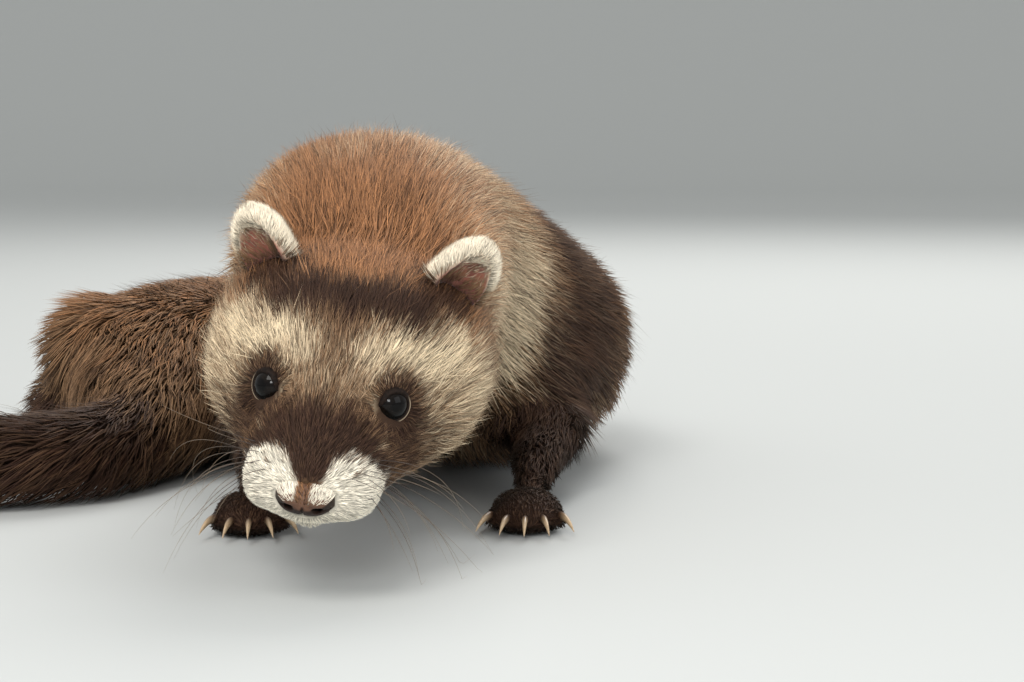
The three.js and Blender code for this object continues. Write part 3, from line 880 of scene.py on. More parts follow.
def node(tree, kind, **settings):
    """A node, with its properties, and its inputs given as in_Name=value or a socket to link."""
    made = tree.nodes.new(kind)
    for key, value in settings.items():
        if not key.startswith("in_"):
            setattr(made, key, value)
    for key, value in settings.items():
        if key.startswith("in_"):
            key = key[3:].replace("_", " ")
            fill(tree, made.inputs[int(key)] if key.isdigit() else made.inputs[key], value)
    return made


def mix(tree, factor, a, b, blend="MIX"):
    """Mixes two colours. The factor is 0 for the first and 1 for the second."""
    made = node(tree, "ShaderNodeMix", data_type="RGBA", blend_type=blend)
    for index, value in ((0, factor), (6, a), (7, b)):
        fill(tree, made.inputs[index], value)
    return made.outputs[2]


def maths(tree, operation, a, b):
    """One step of arithmetic."""
    return node(tree, "ShaderNodeMath", operation=operation, in_0=a, in_1=b).outputs[0]


def eased(tree, value, low, high, out_low=0.0, out_high=1.0):
    """Turns the range from low to high into another one, with soft ends."""
    return node(tree, "ShaderNodeMapRange", interpolation_type="SMOOTHSTEP", in_Value=value, in_From_Min=low,
                in_From_Max=high, in_To_Min=out_low, in_To_Max=out_high).outputs[0]


def position(tree):
    """Where a point of the surface is."""
    return node(tree, "ShaderNodeNewGeometry").outputs["Position"]


def noise(tree, scale, detail=3.0):
    """Soft, irregular spots. A larger scale makes them smaller."""
    spots = node(tree, "ShaderNodeTexNoise", in_Vector=position(tree), in_Scale=scale, in_Detail=detail)
    return spots.outputs[0]


def parts_of(tree, attribute):
    """The three values of a colour attribute."""
    colour = node(tree, "ShaderNodeAttribute", attribute_name=attribute).outputs["Color"]
    return node(tree, "ShaderNodeSeparateColor", in_Color=colour).outputs


def bumped(tree, shader, height, strength, distance, invert=False):
    """Makes the surface look raised where height is large."""
    bump = node(tree, "ShaderNodeBump", invert=invert, in_Strength=strength, in_Distance=distance,
                in_Height=height)
    link(tree, bump.outputs[0], shader.inputs["Normal"])


COAT = {"brown": "86684c", "warm": "a5744d", "pale": "e3cfae", "dark": "342016", "white": "f3ebd9"}
print("coat colours:", {name: [round(v, 3) for v in paint(code)[:3]] for name, code in COAT.items()})

# %% The sable colour group
coat_inputs = {"White": 0.0, "Dark": 0.0, "Pale": 0.0, "Warm": 0.0, "Tip": 0.5, "Tone": 0.5}
coat_inputs.update({name.title() + " Colour": paint(code) for name, code in COAT.items()})
coat_outputs = {"Color": "NodeSocketColor", "Shade": "NodeSocketFloat"}
sable, group_in, group_out = new_group("Sable coat", coat_inputs, coat_outputs)
ins = group_in.outputs
colour = mix(sable, ins["Warm"], ins["Brown Colour"], ins["Warm Colour"])
colour = mix(sable, ins["Pale"], colour, ins["Pale Colour"])
few = maths(sable, "LESS_THAN", ins["Tone"], 0.14)
dark_tip = maths(sable, "MULTIPLY", few, eased(sable, ins["Tip"], 0.25, 0.8, 0.0, 0.6))
colour = mix(sable, dark_tip, colour, ins["Dark Colour"])
colour = mix(sable, ins["Dark"], colour, ins["Dark Colour"])
colour = mix(sable, ins["White"], colour, ins["White Colour"])
# Painted shade: each hair darkens towards its root, where the coat shades itself.
root_painted_shade = eased(sable, ins["Tip"], 0.0, 0.75, 0.42, 1.1)
tone_shade = eased(sable, ins["Tone"], 0.0, 1.0, 0.66, 1.26)
grain_shade = eased(sable, noise(sable, 420.0), 0.3, 0.7, 0.9, 1.08)
shade = maths(sable, "MULTIPLY", maths(sable, "MULTIPLY", root_painted_shade, tone_shade), grain_shade)
grey = node(sable, "ShaderNodeCombineColor", in_Red=shade, in_Green=shade, in_Blue=shade).outputs[0]
link(sable, mix(sable, 1.0, colour, grey, "MULTIPLY"), group_out.inputs["Color"])
link(sable, shade, group_out.inputs["Shade"])
print("group sockets:", [s.name for s in sable.interface.items_tree])

# %% Coat and skin materials
def coat_material(name, roughness, bump=0.0):
    """Fur: the colour group fed by the attributes of skin and hairs, with a soft sheen."""
    made, tree, shader = material(name, Roughness=roughness, Sheen_Weight=0.06, Sheen_Roughness=0.4,
                                  Sheen_Tint=paint("e8dcc8"), Specular_IOR_Level=0.22)
    group = node(tree, "ShaderNodeGroup", node_tree=sable)
    sources = [*parts_of(tree, "marking"), *parts_of(tree, "strand")]
    for source, target in zip(sources, ("White", "Dark", "Pale", "Tip", "Tone", "Warm")):
        link(tree, source, group.inputs[target])
    link(tree, group.outputs["Color"], shader.inputs["Base Color"])
    rough = eased(tree, group.outputs["Shade"], 0.4, 1.2, roughness + 0.12, roughness - 0.05)
    link(tree, rough, shader.inputs["Roughness"])
    if bump:
        bumped(tree, shader, noise(tree, 1500.0, 4.0), bump, 0.0004)
    return made


skin_paint = coat_material("short_underfur", 0.8, bump=0.6)
coat_paint = coat_material("guard_coat", 0.68)

skin_mesh = mesh_of("skin", skin_points, skin_faces)
write_map(skin_mesh, face_uv)
write_colours(skin_mesh, "marking", skin_marks[:, :3])
# The skin is painted as dark as a hair near its root: painted shade under the coat.
under_hairs = np.tile([0.34, 0.5], (len(skin_points), 1))  # as dark as a hair near its root, in a middle tone
write_colours(skin_mesh, "strand", np.column_stack([under_hairs, skin_marks[:, 3]]))
piece(skin_mesh, skin_paint, FLESH)
print("skin replaces", len(FLESH), "solids")

# %% [markdown]
# ## How long, wide and close the hairs are
# A ferret's face has hair of two to eight millimetres, the neck and back about fifteen. Near the camera the
# hairs are thin and close. Where a place is always seen from further off, each tuft stands for several
# hairs.

# %% Hair sizes over the skin
HEAD_LENGTH = [(-40, 1.5), (-34, 2.3), (-26, 3.6), (-14, 5.4), (0, 8.0), (14, 11.5), (30, 14.5)]
HEAD_WIDTH = [(-40, 0.14), (-26, 0.17), (0, 0.21), (30, 0.3)]
HEAD_SPACING = [(-40, 0.32), (-26, 0.34), (0, 0.4), (30, 0.54)]
TRUNK_LENGTH = [(1, 16), (3, 18), (7, 16), (10, 13.5), (TAIL, 14), (15, 13), (19, 8)]
LEG_LENGTH = [(0, 15), (2, 13), (3.5, 11), (5, 8.5), (5.9, 5), (AT_PAW, 3)]
LEG_WIDTH = [(0, 0.46), (3, 0.38), (AT_PAW, 0.26)]
LEG_SPACING = [(0, 0.95), (3, 0.78), (AT_PAW, 0.55)]
FINER_TOWARDS = np.array([0.1, -0.75, 0.65])  # the side of the trunk that is seen most has finer hairs

y = in_head[:, 1]
head_sizes = np.stack([table(y, pairs) for pairs in (HEAD_LENGTH, HEAD_WIDTH, HEAD_SPACING)], 1)
head_sizes[:, 0] *= 0.34 + 0.66 * ramp(to_eye, 4.4, 10)
finer = ramp(skin_normals @ FINER_TOWARDS, 0.0, 0.5) * ramp(-place, -5.6, -4.2)
under = ramp(-skin_normals[:, 2], 0.3, 0.7)
trunk_sizes = np.stack([table(place, TRUNK_LENGTH), 0.5 - 0.2 * finer, 0.94 - 0.4 * finer + 0.7 * under], 1)
leg_sizes = np.stack([table(leg_place, pairs) for pairs in (LEG_LENGTH, LEG_WIDTH, LEG_SPACING)], 1)
sizes = spread(by_limb(trunk_sizes, leg_sizes, head_sizes), skin_edges, 6)
for side in (1, -1):  # round each eye the hair points away from it
    local, out = eye_view(in_head, side)
    away = unit(local * (1, 1, 0)) @ eye_axes(side) @ HEAD_AXES.T
    share = ramp(-out, -2.6, -1.5)[:, None]
    flow = unit(flow * (1 - share) + away * share + 1e-9)
flow = unit(flow - skin_normals * dot(flow, skin_normals))
print("hair length, width and spacing on average:", sizes.mean(0).round(2), "mm")

# %% [markdown]
# ## One hair, many times
# Each hair is a closed three-sided spike with one bend: it rises from the skin and then lies down along the
# flow. Neighbours lean together into small wisps, as real fur does. All hairs of a patch are built at once
# with arrays.

# %% Roots
def scatter(points, faces, fields, spacing, seed):
    """Even random roots over the faces, as a dictionary: where they are, and what the fields say there."""
    rng = np.random.default_rng(seed)
    face = np.tile(np.arange(len(faces)), 2)
    corners = np.repeat([[0, 1, 2], [0, 2, 3]], len(faces), axis=0)
    triangles = faces[face[:, None], corners]
    a, b, c = (points[triangles[:, i]] for i in range(3))
    area = np.linalg.norm(np.cross(b - a, c - a), axis=1) / 2 / MM ** 2
    wanted = area / spacing[triangles].mean(1) ** 2
    rough_z, rough_y = (np.round(a[:, i] / (3 * MM)) for i in (2, 1))
    order = np.argsort(rough_z * 1e6 + rough_y * 1e3 + a[:, 0] / MM)
    total = np.cumsum(wanted[order])
    picks = order[np.searchsorted(total, np.arange(int(total[-1])) + rng.uniform(0, 1))]
    u, v = rng.uniform(size=(2, len(picks)))
    beyond = u + v > 1
    u[beyond] = 1 - u[beyond]
    v[beyond] = 1 - v[beyond]
    weights = np.stack([1 - u - v, u, v], 1)
    roots = {"face": face[picks], "corners": corners[picks], "weights": weights}
    for key, values in {"at": points, **fields}.items():
        share = weights[:, :, None] if values.ndim > 1 else weights
        roots[key] = (values[triangles[picks]] * share).sum(1)
    for key in ("normal", "along"):
        roots[key] = unit(roots[key])
    return roots


def chosen(roots, keep):
    """Only some of the roots."""
    return {key: values[keep] for key, values in roots.items()}


def ruffled(marks):
    """Where two markings meet, each hair takes more of one or the other, which breaks the border up."""
    return np.clip(marks + RNG.uniform(-2.1, 2.1, marks.shape) * marks * (1 - marks), 0, 1)


SKIN_FIELDS = {"normal": skin_normals, "along": flow, "sizes": sizes, "depth": depth, "place": place,
               "on_leg": on_leg, "leg_place": leg_place, "on_head": on_head}


def skin_roots(spacing, seed):
    """Roots over the skin, with their places on the bake map."""
    roots = scatter(skin_points, skin_faces, SKIN_FIELDS, spacing, seed)
    corner_uv = face_uv[roots["face"][:, None], roots["corners"]]
    roots["uv"] = (corner_uv * roots["weights"][:, :, None]).sum(1)
    return roots


SHOWS = 0.8  # the share of a hair's length where most of it shows


def coat_marks(roots, length):
    """The markings of hairs with a length, taken from the place where most of each hair shows."""
    shown = roots["at"] + roots["along"] * (length * SHOWS * MM)[:, None]
    limb = [roots[key] for key in ("place", "on_leg", "leg_place", "on_head")]
    return ruffled(markings(shown, *limb))


print("each root knows:", ", ".join(SKIN_FIELDS))

# %% Hairs
HAIR_POINTS = 7  # three at the root, three at the bend and the tip
HAIR_FACES = np.array([(0, 2, 1), (0, 1, 4), (0, 4, 3), (1, 2, 5), (1, 5, 4), (2, 0, 3), (2, 3, 5),
                       (3, 4, 6), (4, 5, 6), (5, 3, 6)])
HAIR_MAP = 0.0015 * np.array([(-1, -1), (1, -1), (0, -0.7), (-0.8, 0.3), (0.8, 0.3), (0, 0.4), (0, 1)])
HAIR_STRAND = [0, 0, 0, 0.55, 0.55, 0.55, 1]  # how near the tip each point is
BEND_AT = 0.45  # the share of its length
WISP_SIZE = 9  # hairs


def hairs(name, roots, length, width, height, tone, seed, wisp=0.35, sway=0.16):
    """Closed tapered hairs as one mesh, in millimetres. Height is how far the coat stands off the skin."""
    rng = np.random.default_rng(seed)
    at, normal, along = (roots[key] for key in ("at", "normal", "along"))
    n = len(at)
    side = unit(np.cross(along, normal))
    turn = (rng.normal(0, sway, n) + 0.16 * waves(at / MM, 9, seed))[:, None]
    along = along * np.cos(turn) + side * np.sin(turn)
    side = unit(np.cross(along, normal))
    length = length * rng.uniform(0.72, 1.12, n)
    rise = np.arcsin(np.clip(height / (0.7 * length), 0.06, 0.95)) * rng.uniform(0.75, 1.2, n)
    first, second = (along * np.cos(a)[:, None] + normal * np.sin(a)[:, None] for a in (rise, rise * 0.42))
    bend = at + first * (length * BEND_AT * MM)[:, None]
    tip = bend + second * (length * (1 - BEND_AT) * MM)[:, None]

    leaders = np.arange(0, n, WISP_SIZE)  # each hair leans towards the leader of its wisp
    near = tree_of(at[leaders])
    leader = leaders[[near.find(p)[1] for p in at]]
    tip += (tip[leader] - tip) * (wisp * rng.uniform(0.5, 1, n))[:, None]
    bend += (bend[leader] - bend) * (0.3 * wisp)
    tone = np.clip(tone + 0.25 * (rng.uniform(-1, 1, n)[leader]), 0, 1)
    bend[:, 2] = np.maximum(bend[:, 2], 0.5 * MM)
    tip[:, 2] = np.maximum(tip[:, 2], 0.3 * MM)

    half = np.reshape(width * MM / 2, (-1, 1))
    low_up, high_up = (unit(np.cross(side, direction)) for direction in (first, second))
    base = at - normal * 0.3 * MM
    at_root = [base - side * half, base + side * half, base + low_up * half]
    at_bend = [bend - side * half * 0.85, bend + side * half * 0.85, bend + high_up * half * 0.8]
    points = np.stack([*at_root, *at_bend, tip], 1)
    one = HAIR_FACES
    a, b, c = (points[0][one[:, i]] for i in range(3))
    if (np.cross(b - a, c - a) * (a - points[0].mean(0))).sum() < 0:
        one = one[:, ::-1]
    faces = (one[None] + HAIR_POINTS * np.arange(n)[:, None, None]).reshape(-1, 3)
    mesh = mesh_of(name, points.reshape(-1, 3), faces)
    write_map(mesh, (roots["uv"][:, None] + HAIR_MAP).reshape(-1, 2)[faces.ravel()])
    marks = np.repeat(roots["marks"], HAIR_POINTS, axis=0)
    write_colours(mesh, "marking", marks[:, :3])
    strand = [np.tile(HAIR_STRAND, n), np.repeat(tone, HAIR_POINTS), marks[:, 3]]
    write_colours(mesh, "strand", np.stack(strand, 1))

    # the hairs are shaded as if they were round, and partly as the skin below them is
    low, high = ([unit(-side - 0.5 * up), unit(side - 0.5 * up), up] for up in (low_up, high_up))
    rounded = np.stack([*low, *high, high_up], 1).reshape(-1, 3)
    soft = unit(rounded * 0.6 + np.repeat(normal, HAIR_POINTS, axis=0) * 0.6)
    mesh.normals_split_custom_set_from_vertices(soft.astype(np.float32))
    return mesh


print("one hair:", HAIR_POINTS, "points,", len(HAIR_FACES), "triangles")

# %% [markdown]
# The roots are sorted from the nose to the tail and cut into pieces of about equal size, small enough for
# any viewer. None grow on the nose, in the line of the mouth or between the lids.

# %% The coat, piece by piece
MOST_HAIRS = 19800  # in one piece, which keeps it under 200,000 triangles
NO_HAIR_BY_EYE = 1.13  # in slit widths from its middle
NO_LONG_HAIR_BY_EYE = 2.2


def slit_widths(points):
    """How far places on the head are from the nearer eye, counted in slit widths."""
    return np.min([eye_view(points, side)[1] for side in (1, -1)], axis=0)


roots = skin_roots(sizes[:, 2], 11)
in_head_roots = to_head(roots["at"])
on_nose = np.linalg.norm((in_head_roots - NOSE_CENTRE) / (NOSE_SIZE * (1.0, 1.35, 1.0)), axis=1) < 1
mouth_gap = np.abs(in_head_roots[:, 2] - mouth_height(in_head_roots[:, 1]))
on_mouth = (mouth_gap < 0.4) & (in_head_roots[:, 1] < -14) & (roots["on_head"] > 0.9)
on_eye = slit_widths(in_head_roots) < NO_HAIR_BY_EYE
bald = on_nose | on_mouth | on_eye | (roots["at"][:, 2] <= 0.6 * MM)
print("roots:", len(bald), "kept:", int((~bald).sum()))
roots = chosen(roots, ~bald)
roots["marks"] = coat_marks(roots, roots["sizes"][:, 0])
trunk_then_legs = roots["place"] + 100 * (roots["on_leg"] > 0.5)
order = np.argsort(np.where(roots["on_head"] > 0.5, to_head(roots["at"])[:, 1] - 1000, trunk_then_legs))
for i, part in enumerate(np.array_split(order, math.ceil(len(order) / MOST_HAIRS))):
    part = chosen(roots, part)
    tone = RNG.uniform(0, 1, len(part["at"]))
    length, width, _ = part["sizes"].T
    mesh = hairs(f"coat_{i + 1:02d}", part, length, width, part["depth"], tone, seed=20 + i)
    piece(mesh, coat_paint)
    print(mesh.name, len(tone), "hairs,", len(mesh.polygons), "triangles")

# %% [markdown]
# ## Longer single hairs
# Over the soft coat stand longer single hairs: pale ones on the cheeks and neck, which keep the head from
# looking clipped, and dark ones on the back, which make the outline fuzzy against the light. They are thin,
# stand up more and lean with the coat, so two sparse layers of the same hairs are enough.

# %% Pale cheek hairs and dark guard hairs
LONG_WIDTH = 0.15
LOWEST = 8 * MM  # none reach the floor
NONE_HERE = 60.0  # a spacing so wide that hardly a hair grows
CHEEK_LENGTH = [(-14, 6), (-4, 9), (10, 13), (30, 17)]  # behind the nose
GUARD_LENGTH = [(1, 17), (3, 22), (7, 20), (10, 17), (13, 18), (19, 13)]  # along the spine


def long_hairs(name, spacing, length_at, lift, seed, darken=0.0):
    """A sparse layer of long hairs. Lift is how far they stand above the coat, at least and at most."""
    roots = skin_roots(spread(spacing, skin_edges, 4), seed)
    off_eye = slit_widths(to_head(roots["at"])) > NO_LONG_HAIR_BY_EYE
    roots = chosen(roots, (roots["at"][:, 2] > LOWEST) & off_eye)
    length = length_at(roots)
    marks = coat_marks(roots, length)
    marks[:, 1] = np.maximum(marks[:, 1], darken)
    roots["marks"] = marks
    height = roots["depth"] + RNG.uniform(*lift, len(length))
    tone = RNG.uniform(0.25, 1, len(length))
    mesh = hairs(name, roots, length, LONG_WIDTH, height, tone, seed=seed + 1, wisp=0.15, sway=0.28)
    piece(mesh, coat_paint)
    print(name, len(length), "hairs")


on_cheek = (on_head > 0.2) & (in_head[:, 1] > -14)
on_neck = (place < 3.4) & (on_leg < 0.3) & (on_head <= 0.2)
on_back = (on_head < 0.3) & (on_leg < 0.4) & (skin_normals[:, 2] > -0.2) & (place > 1.6)
long_hairs("coat_cheeks", np.where(on_cheek | on_neck, 1.25, NONE_HERE),
           lambda roots: table(to_head(roots["at"])[:, 1], CHEEK_LENGTH), (0.3, 2.2), 44)
long_hairs("coat_guard", np.where(on_back, 3.0, NONE_HERE),
           lambda roots: table(roots["place"], GUARD_LENGTH), (0.5, 3.2), 40, darken=0.8)

# %% [markdown]
# ## Eyes
# The eye of a ferret is nearly all dark iris. A ball with a slightly bulging front and a very smooth, clear
# surface is enough, as long as the lamps can mirror in it. The colour hardly changes: a brown-black iris, a
# black pupil, and a cooler tint low down, which is a painted reflection.

# %% Eyeballs
SIDES = {1: "left", -1: "right"}


def ball(size, around, along):
    """A ball, its poles on the third direction: its points, its rings of faces and the faces at its poles."""
    polar = np.linspace(0.02, math.pi - 0.02, along)
    angle = np.arange(around) / around * 2 * math.pi
    p, a = np.meshgrid(polar, angle, indexing="ij")
    points = np.stack([np.sin(p) * np.cos(a), np.sin(p) * np.sin(a), np.cos(p)], -1).reshape(-1, 3) * size
    n = len(points)
    j = np.arange(around)
    k = (j + 1) % around
    first_cap = np.stack([np.full(around, n), j, k], 1)
    last_cap = np.stack([np.full(around, n + 1), n - around + k, n - around + j], 1)
    points = np.concatenate([points, [points[:around].mean(0), points[-around:].mean(0)]])
    return points, ring_faces(along, around), np.concatenate([first_cap, last_cap])


eye_paint, eye_tree, eye_shader = material("dark_iris", Roughness=0.05, IOR=1.38, Specular_IOR_Level=0.25)
eye_parts = parts_of(eye_tree, "marking")
iris_rays = eased(eye_tree, noise(eye_tree, 900.0), 0.35, 0.7)
eye_colour = mix(eye_tree, iris_rays, paint("0b0807"), paint("15100c"))
# Painted reflection: a cooler tint low on the ball.
eye_colour = mix(eye_tree, eye_parts[1], eye_colour, paint("10181a"))
eye_colour = mix(eye_tree, eye_parts[0], eye_colour, paint("040303"))
link(eye_tree, eye_colour, eye_shader.inputs["Base Color"])
for side, name in SIDES.items():
    points, faces, caps = ball(EYE_BALL, 64, 40)
    points[:, 2] += 0.25 * ramp(points[:, 2], EYE_BALL * 0.72, EYE_BALL)
    points = from_head(points @ eye_axes(side) + eye_places[side])
    eye_mesh = mesh_from_lists("eyeball_" + name, points.tolist(), faces.tolist() + caps.tolist())
    local = (to_head(points_of(eye_mesh)) - eye_places[side]) @ eye_axes(side).T
    pupil = ramp(-np.hypot(local[:, 0], local[:, 1] * 1.3), -1.9, -1.3) * (local[:, 2] > 0)
    # Painted reflection: cooler low on the ball, where the surroundings would mirror in it.
    below = ramp(-local[:, 1], 0.4, 2.6) * (local[:, 2] > 0)
    write_colours(eye_mesh, "marking", np.stack([pupil, 0.5 * below], 1))
    piece(eye_mesh, eye_paint, ("eye_" + name,))
print("eyeballs: radius", EYE_BALL, "mm")

# %% [markdown]
# ## Eyelids
# The lids hug the ball. Each is a ring of bare skin swept round the opening: its inner edge dips onto the
# ball, then comes a small rounded rim with painted light on its lower outer corner, and its outer edge goes
# under the fur.

# %% Lids
LID_ROUND = 72  # points round the eye
LID_PROFILE = [  # from the inner edge outwards: how far from the slit's middle, how high above the ball
    (0.93, -0.35), (0.99, 0.1), (1.02, 0.32), (1.07, 0.44), (1.13, 0.44), (1.21, 0.34), (1.32, 0.15),
    (1.5, -0.2), (1.8, -0.8),
]
lid_paint, lid_tree, lid_shader = material("lid_skin", Roughness=0.75, Specular_IOR_Level=0.15)
lid_noise = noise(lid_tree, 1800.0)
lid_colour = mix(lid_tree, eased(lid_tree, lid_noise, 0.3, 0.7), paint("130d0a"), paint("231812"))
lid_colour = mix(lid_tree, parts_of(lid_tree, "marking")[0], lid_colour, paint("c4b096"))
link(lid_tree, lid_colour, lid_shader.inputs["Base Color"])
bumped(lid_tree, lid_shader, lid_noise, 0.35, 0.0002)

x, y = slit_edge(np.arange(LID_ROUND) / LID_ROUND * 2 * math.pi)
reach = np.arcsin(np.clip(np.hypot(x, y) / EYE_BALL, 0, 0.97))
heading = np.arctan2(y, x)
rings = []
for share, height in LID_PROFILE:
    polar = reach + (share - 1) * 0.9
    radius = EYE_BALL + height + 0.18 * ramp(np.sin(heading), 0, 1) * (share > 1)
    ring = [np.sin(polar) * np.cos(heading), np.sin(polar) * np.sin(heading), np.cos(polar)]
    rings.append(np.stack(ring, 1) * radius[:, None])
shares = np.repeat([share for share, _ in LID_PROFILE], LID_ROUND)
lower = np.tile(0.85 * ramp(-np.sin(heading) - 0.7 * np.cos(heading), 0.1, 1.0), len(rings))
# Painted light: only the lower outer part of the rim is paler, where it catches the light.
lid_painted_light = ramp(shares, 1.02, 1.07) * ramp(-shares, -1.3, -1.18) * lower
for side, name in SIDES.items():
    faces = ring_faces(len(rings), LID_ROUND)[:, ::side]
    points = from_head(np.concatenate(rings) @ eye_axes(side) + eye_places[side])
    lid_mesh = mesh_of("lids_" + name, points, faces)
    write_colours(lid_mesh, "marking", lid_painted_light[:, None])
    smooth = piece(lid_mesh, lid_paint).modifiers.new("smooth", "SUBSURF")
    smooth.levels = 1
    smooth.render_levels = 1
print("lid rings:", len(rings))

# %% [markdown]
# ## The nose
# The nose pad is bare, damp skin with a pebbled surface. It starts as a ball in the shape of the solid, and
# the points near each nostril are pushed in, the way a thumb presses clay. A fine cleft runs down its
# middle to the lip.

# %% Nose pad
NOSTRIL = np.array([2.75, -4.3])  # to the side, up
SQUARENESS = 2.5  # 2 would be an egg
NOSE_AROUND = 160
NOSE_ALONG = 120
nose_paint, nose_tree, nose_shader = material(
    "nose_skin", Roughness=0.6, Specular_IOR_Level=0.3, Subsurface_Weight=0.05,
    Subsurface_Radius=(0.0012, 0.0005, 0.0003))
pebbles = node(nose_tree, "ShaderNodeTexVoronoi", in_Vector=position(nose_tree), in_Scale=2100.0)
pebbles = pebbles.outputs["Distance"]
nose_parts = parts_of(nose_tree, "marking")
nose_blotches = eased(nose_tree, noise(nose_tree, 420.0), 0.35, 0.65)
nose_colour = mix(nose_tree, nose_blotches, paint("6b4c3b"), paint("563c2f"))
# Painted light: the upper part of the pad is lighter, as if lit from above.
nose_colour = mix(nose_tree, nose_parts[1], nose_colour, paint("7d5f4c"))
nose_colour = mix(nose_tree, nose_parts[0], nose_colour, paint("140e0b"))
link(nose_tree, nose_colour, nose_shader.inputs["Base Color"])
link(nose_tree, eased(nose_tree, pebbles, 0.0, 0.6, 0.65, 0.5), nose_shader.inputs["Roughness"])
bumped(nose_tree, nose_shader, pebbles, 0.5, 0.00012, invert=True)


def nostril_depth(x, z):
    """How deep the surface sinks at a place on the nose, seen from the front."""
    aside = x - NOSTRIL[0]
    raised = z - NOSTRIL[1]
    hole = np.hypot(aside / 1.25, raised / 0.95)
    t = np.clip((aside * 2.1 + raised * -0.5) / 4.7, 0, 1)
    slot = np.hypot(aside - 2.1 * t, raised + 0.5 * t) / 0.5
    return np.maximum(1.9 * ramp(-hole, -1, -0.35), 0.8 * ramp(-slot, -1, -0.2))


def pressed_nose(points):
    """A ball's points moved to the shape of the nose."""
    front = points @ np.array([[1, 0, 0], [0, 0, 1], [0, -1, 0]])
    power = (np.abs(front) ** SQUARENESS).sum(1) ** (-1 / SQUARENESS)
    shaped = front * power[:, None] * NOSE_SIZE + NOSE_CENTRE
    x = np.abs(shaped[:, 0])
    z = shaped[:, 2]
    facing = ramp(-shaped[:, 1], 36.8, 38.5)
    cleft = ramp(-x, -0.42, -0.05) * ramp(-z, 3.3, 4.4)
    swelling = np.exp(-((x - 2.6) / 1.6) ** 2 - ((z + 2.6) / 1.0) ** 2)
    shaped[:, 1] += nostril_depth(x, z) * facing
    shaped[:, 1] += 0.55 * cleft * facing
    shaped[:, 1] -= 0.45 * swelling * facing
    shaped[:, 2] += 0.35 * ramp(x, 2.8, 5.2) * facing
    return from_head(shaped)


points, faces, caps = ball(1.0, NOSE_AROUND, NOSE_ALONG)
nose_mesh = mesh_from_lists("nose_pad", pressed_nose(points).tolist(), faces.tolist() + caps.tolist())
nose_points = points_of(nose_mesh)
nose_at = to_head(nose_points)
nose_x = np.abs(nose_at[:, 0])
nose_z = nose_at[:, 2]
nose_front = ramp(-nose_at[:, 1], 35.8, 37.1)
# Painted shade: darker in the nostrils, down the cleft and on the underside of the pad.
nostril_shade = ramp(nostril_depth(nose_x, nose_z), 0.25, 1.1) * nose_front
cleft_shade = 0.7 * ramp(-nose_x, -0.4, -0.05) * ramp(-nose_z, 3.6, 4.6) * nose_front
underside_shade = 0.88 * ramp(-nose_z + 2.6 * (nose_x / 5.7) ** 2, 4.0, 4.8)
nose_painted_shade = np.maximum.reduce([nostril_shade, cleft_shade, underside_shade])
write_colours(nose_mesh, "marking", np.stack([nose_painted_shade, 0.6 * ramp(nose_z, -3.8, -1.4)], 1))
piece(nose_mesh, nose_paint, ("nose",))
print("nose pad:", len(nose_points), "points")

# %% [markdown]
# Very short hairs grow over the upper side of the pad, white on both sides and brown in the middle, so that
# the bare skin is seen only round the nostrils.

# %% Short hairs over the nose
nose_normals = normals_of(nose_points, faces)
nose_normals *= np.sign(dot(nose_normals, nose_points - nose_points.mean(0)).mean())
border = nose_z - 0.5 * ramp(nose_x, 3, 5.4) + 0.5 * ramp(-nose_x, -1.4, -0.5)
furred = ramp(border, -3.2, -2.5) * ramp(-nose_at[:, 1], 33, 34.5)
ones = np.ones(len(nose_at))
backwards = np.stack([0.35 * np.sign(nose_at[:, 0]), ones, 0.5 * ones], 1)
backwards = backwards @ HEAD_AXES.T
backwards = unit(backwards - nose_normals * dot(backwards, nose_normals))
nose_uv = np.stack([0.18 + 0.004 * nose_at[:, 0], 0.445 + 0.004 * nose_at[:, 2]], 1)
nose_fields = {"normal": nose_normals, "along": backwards, "furred": furred, "in_head": nose_at,
               "uv": nose_uv}
roots = scatter(nose_points, faces, nose_fields, np.full(len(nose_points), 0.24), 70)
roots = chosen(roots, roots["furred"] > RNG.uniform(0.15, 0.85, len(roots["at"])))
brown = ramp(-np.abs(roots["in_head"][:, 0] + 0.2), -1.5, -0.8)
tone = RNG.uniform(0.3, 0.9, len(brown))
roots["marks"] = ruffled(np.stack([0.9 * (1 - brown), 0.55 * brown, np.zeros(len(brown)), 0.6 * brown], 1))
piece(hairs("coat_nose", roots, 1.5, 0.13, 0.3, tone, seed=71, wisp=0.2), coat_paint)
print("short hairs over the nose:", len(brown))

# %% [markdown]
# ## Ears
# The solid of each ear is a cup. It is remeshed finely, and averaging rounds its rim. Then it gets its own
# little coat: a thick cream brush along the rim, brown fur behind, and dark hairs low down inside, over the
# reddish skin.

# %% The ear's own directions and its skin
EAR_ROOT = np.array([18.8, 17, 14.3])
EAR_UP = unit(np.array([0.5, 0.3, 0.81]))
EAR_BACK = unit(np.array([-0.42, 0.86, -0.06]))
EAR_SHRINK = np.array([0.8, 1, 0.88])  # its fur makes up the rest
EAR_HALF = np.array([7.8, 3.6, 11.2]) * EAR_SHRINK
EAR_BASE = np.array([0.9, 0, -8.0])  # it shrinks towards this place
EAR_HAIR_WIDTH = 0.16


def ear_axes(side):
    """Across the ear, towards its back, and up, in the head's frame."""
    across = unit(np.cross(EAR_BACK, EAR_UP))
    return np.array([across, EAR_BACK, np.cross(across, EAR_BACK)]) * (MIRROR if side < 0 else 1)


def ear_view(points, side):
    """Places on the ear along its own directions, from its root."""
    return (to_head(points) - EAR_ROOT * (side, 1, 1)) @ ear_axes(side).T


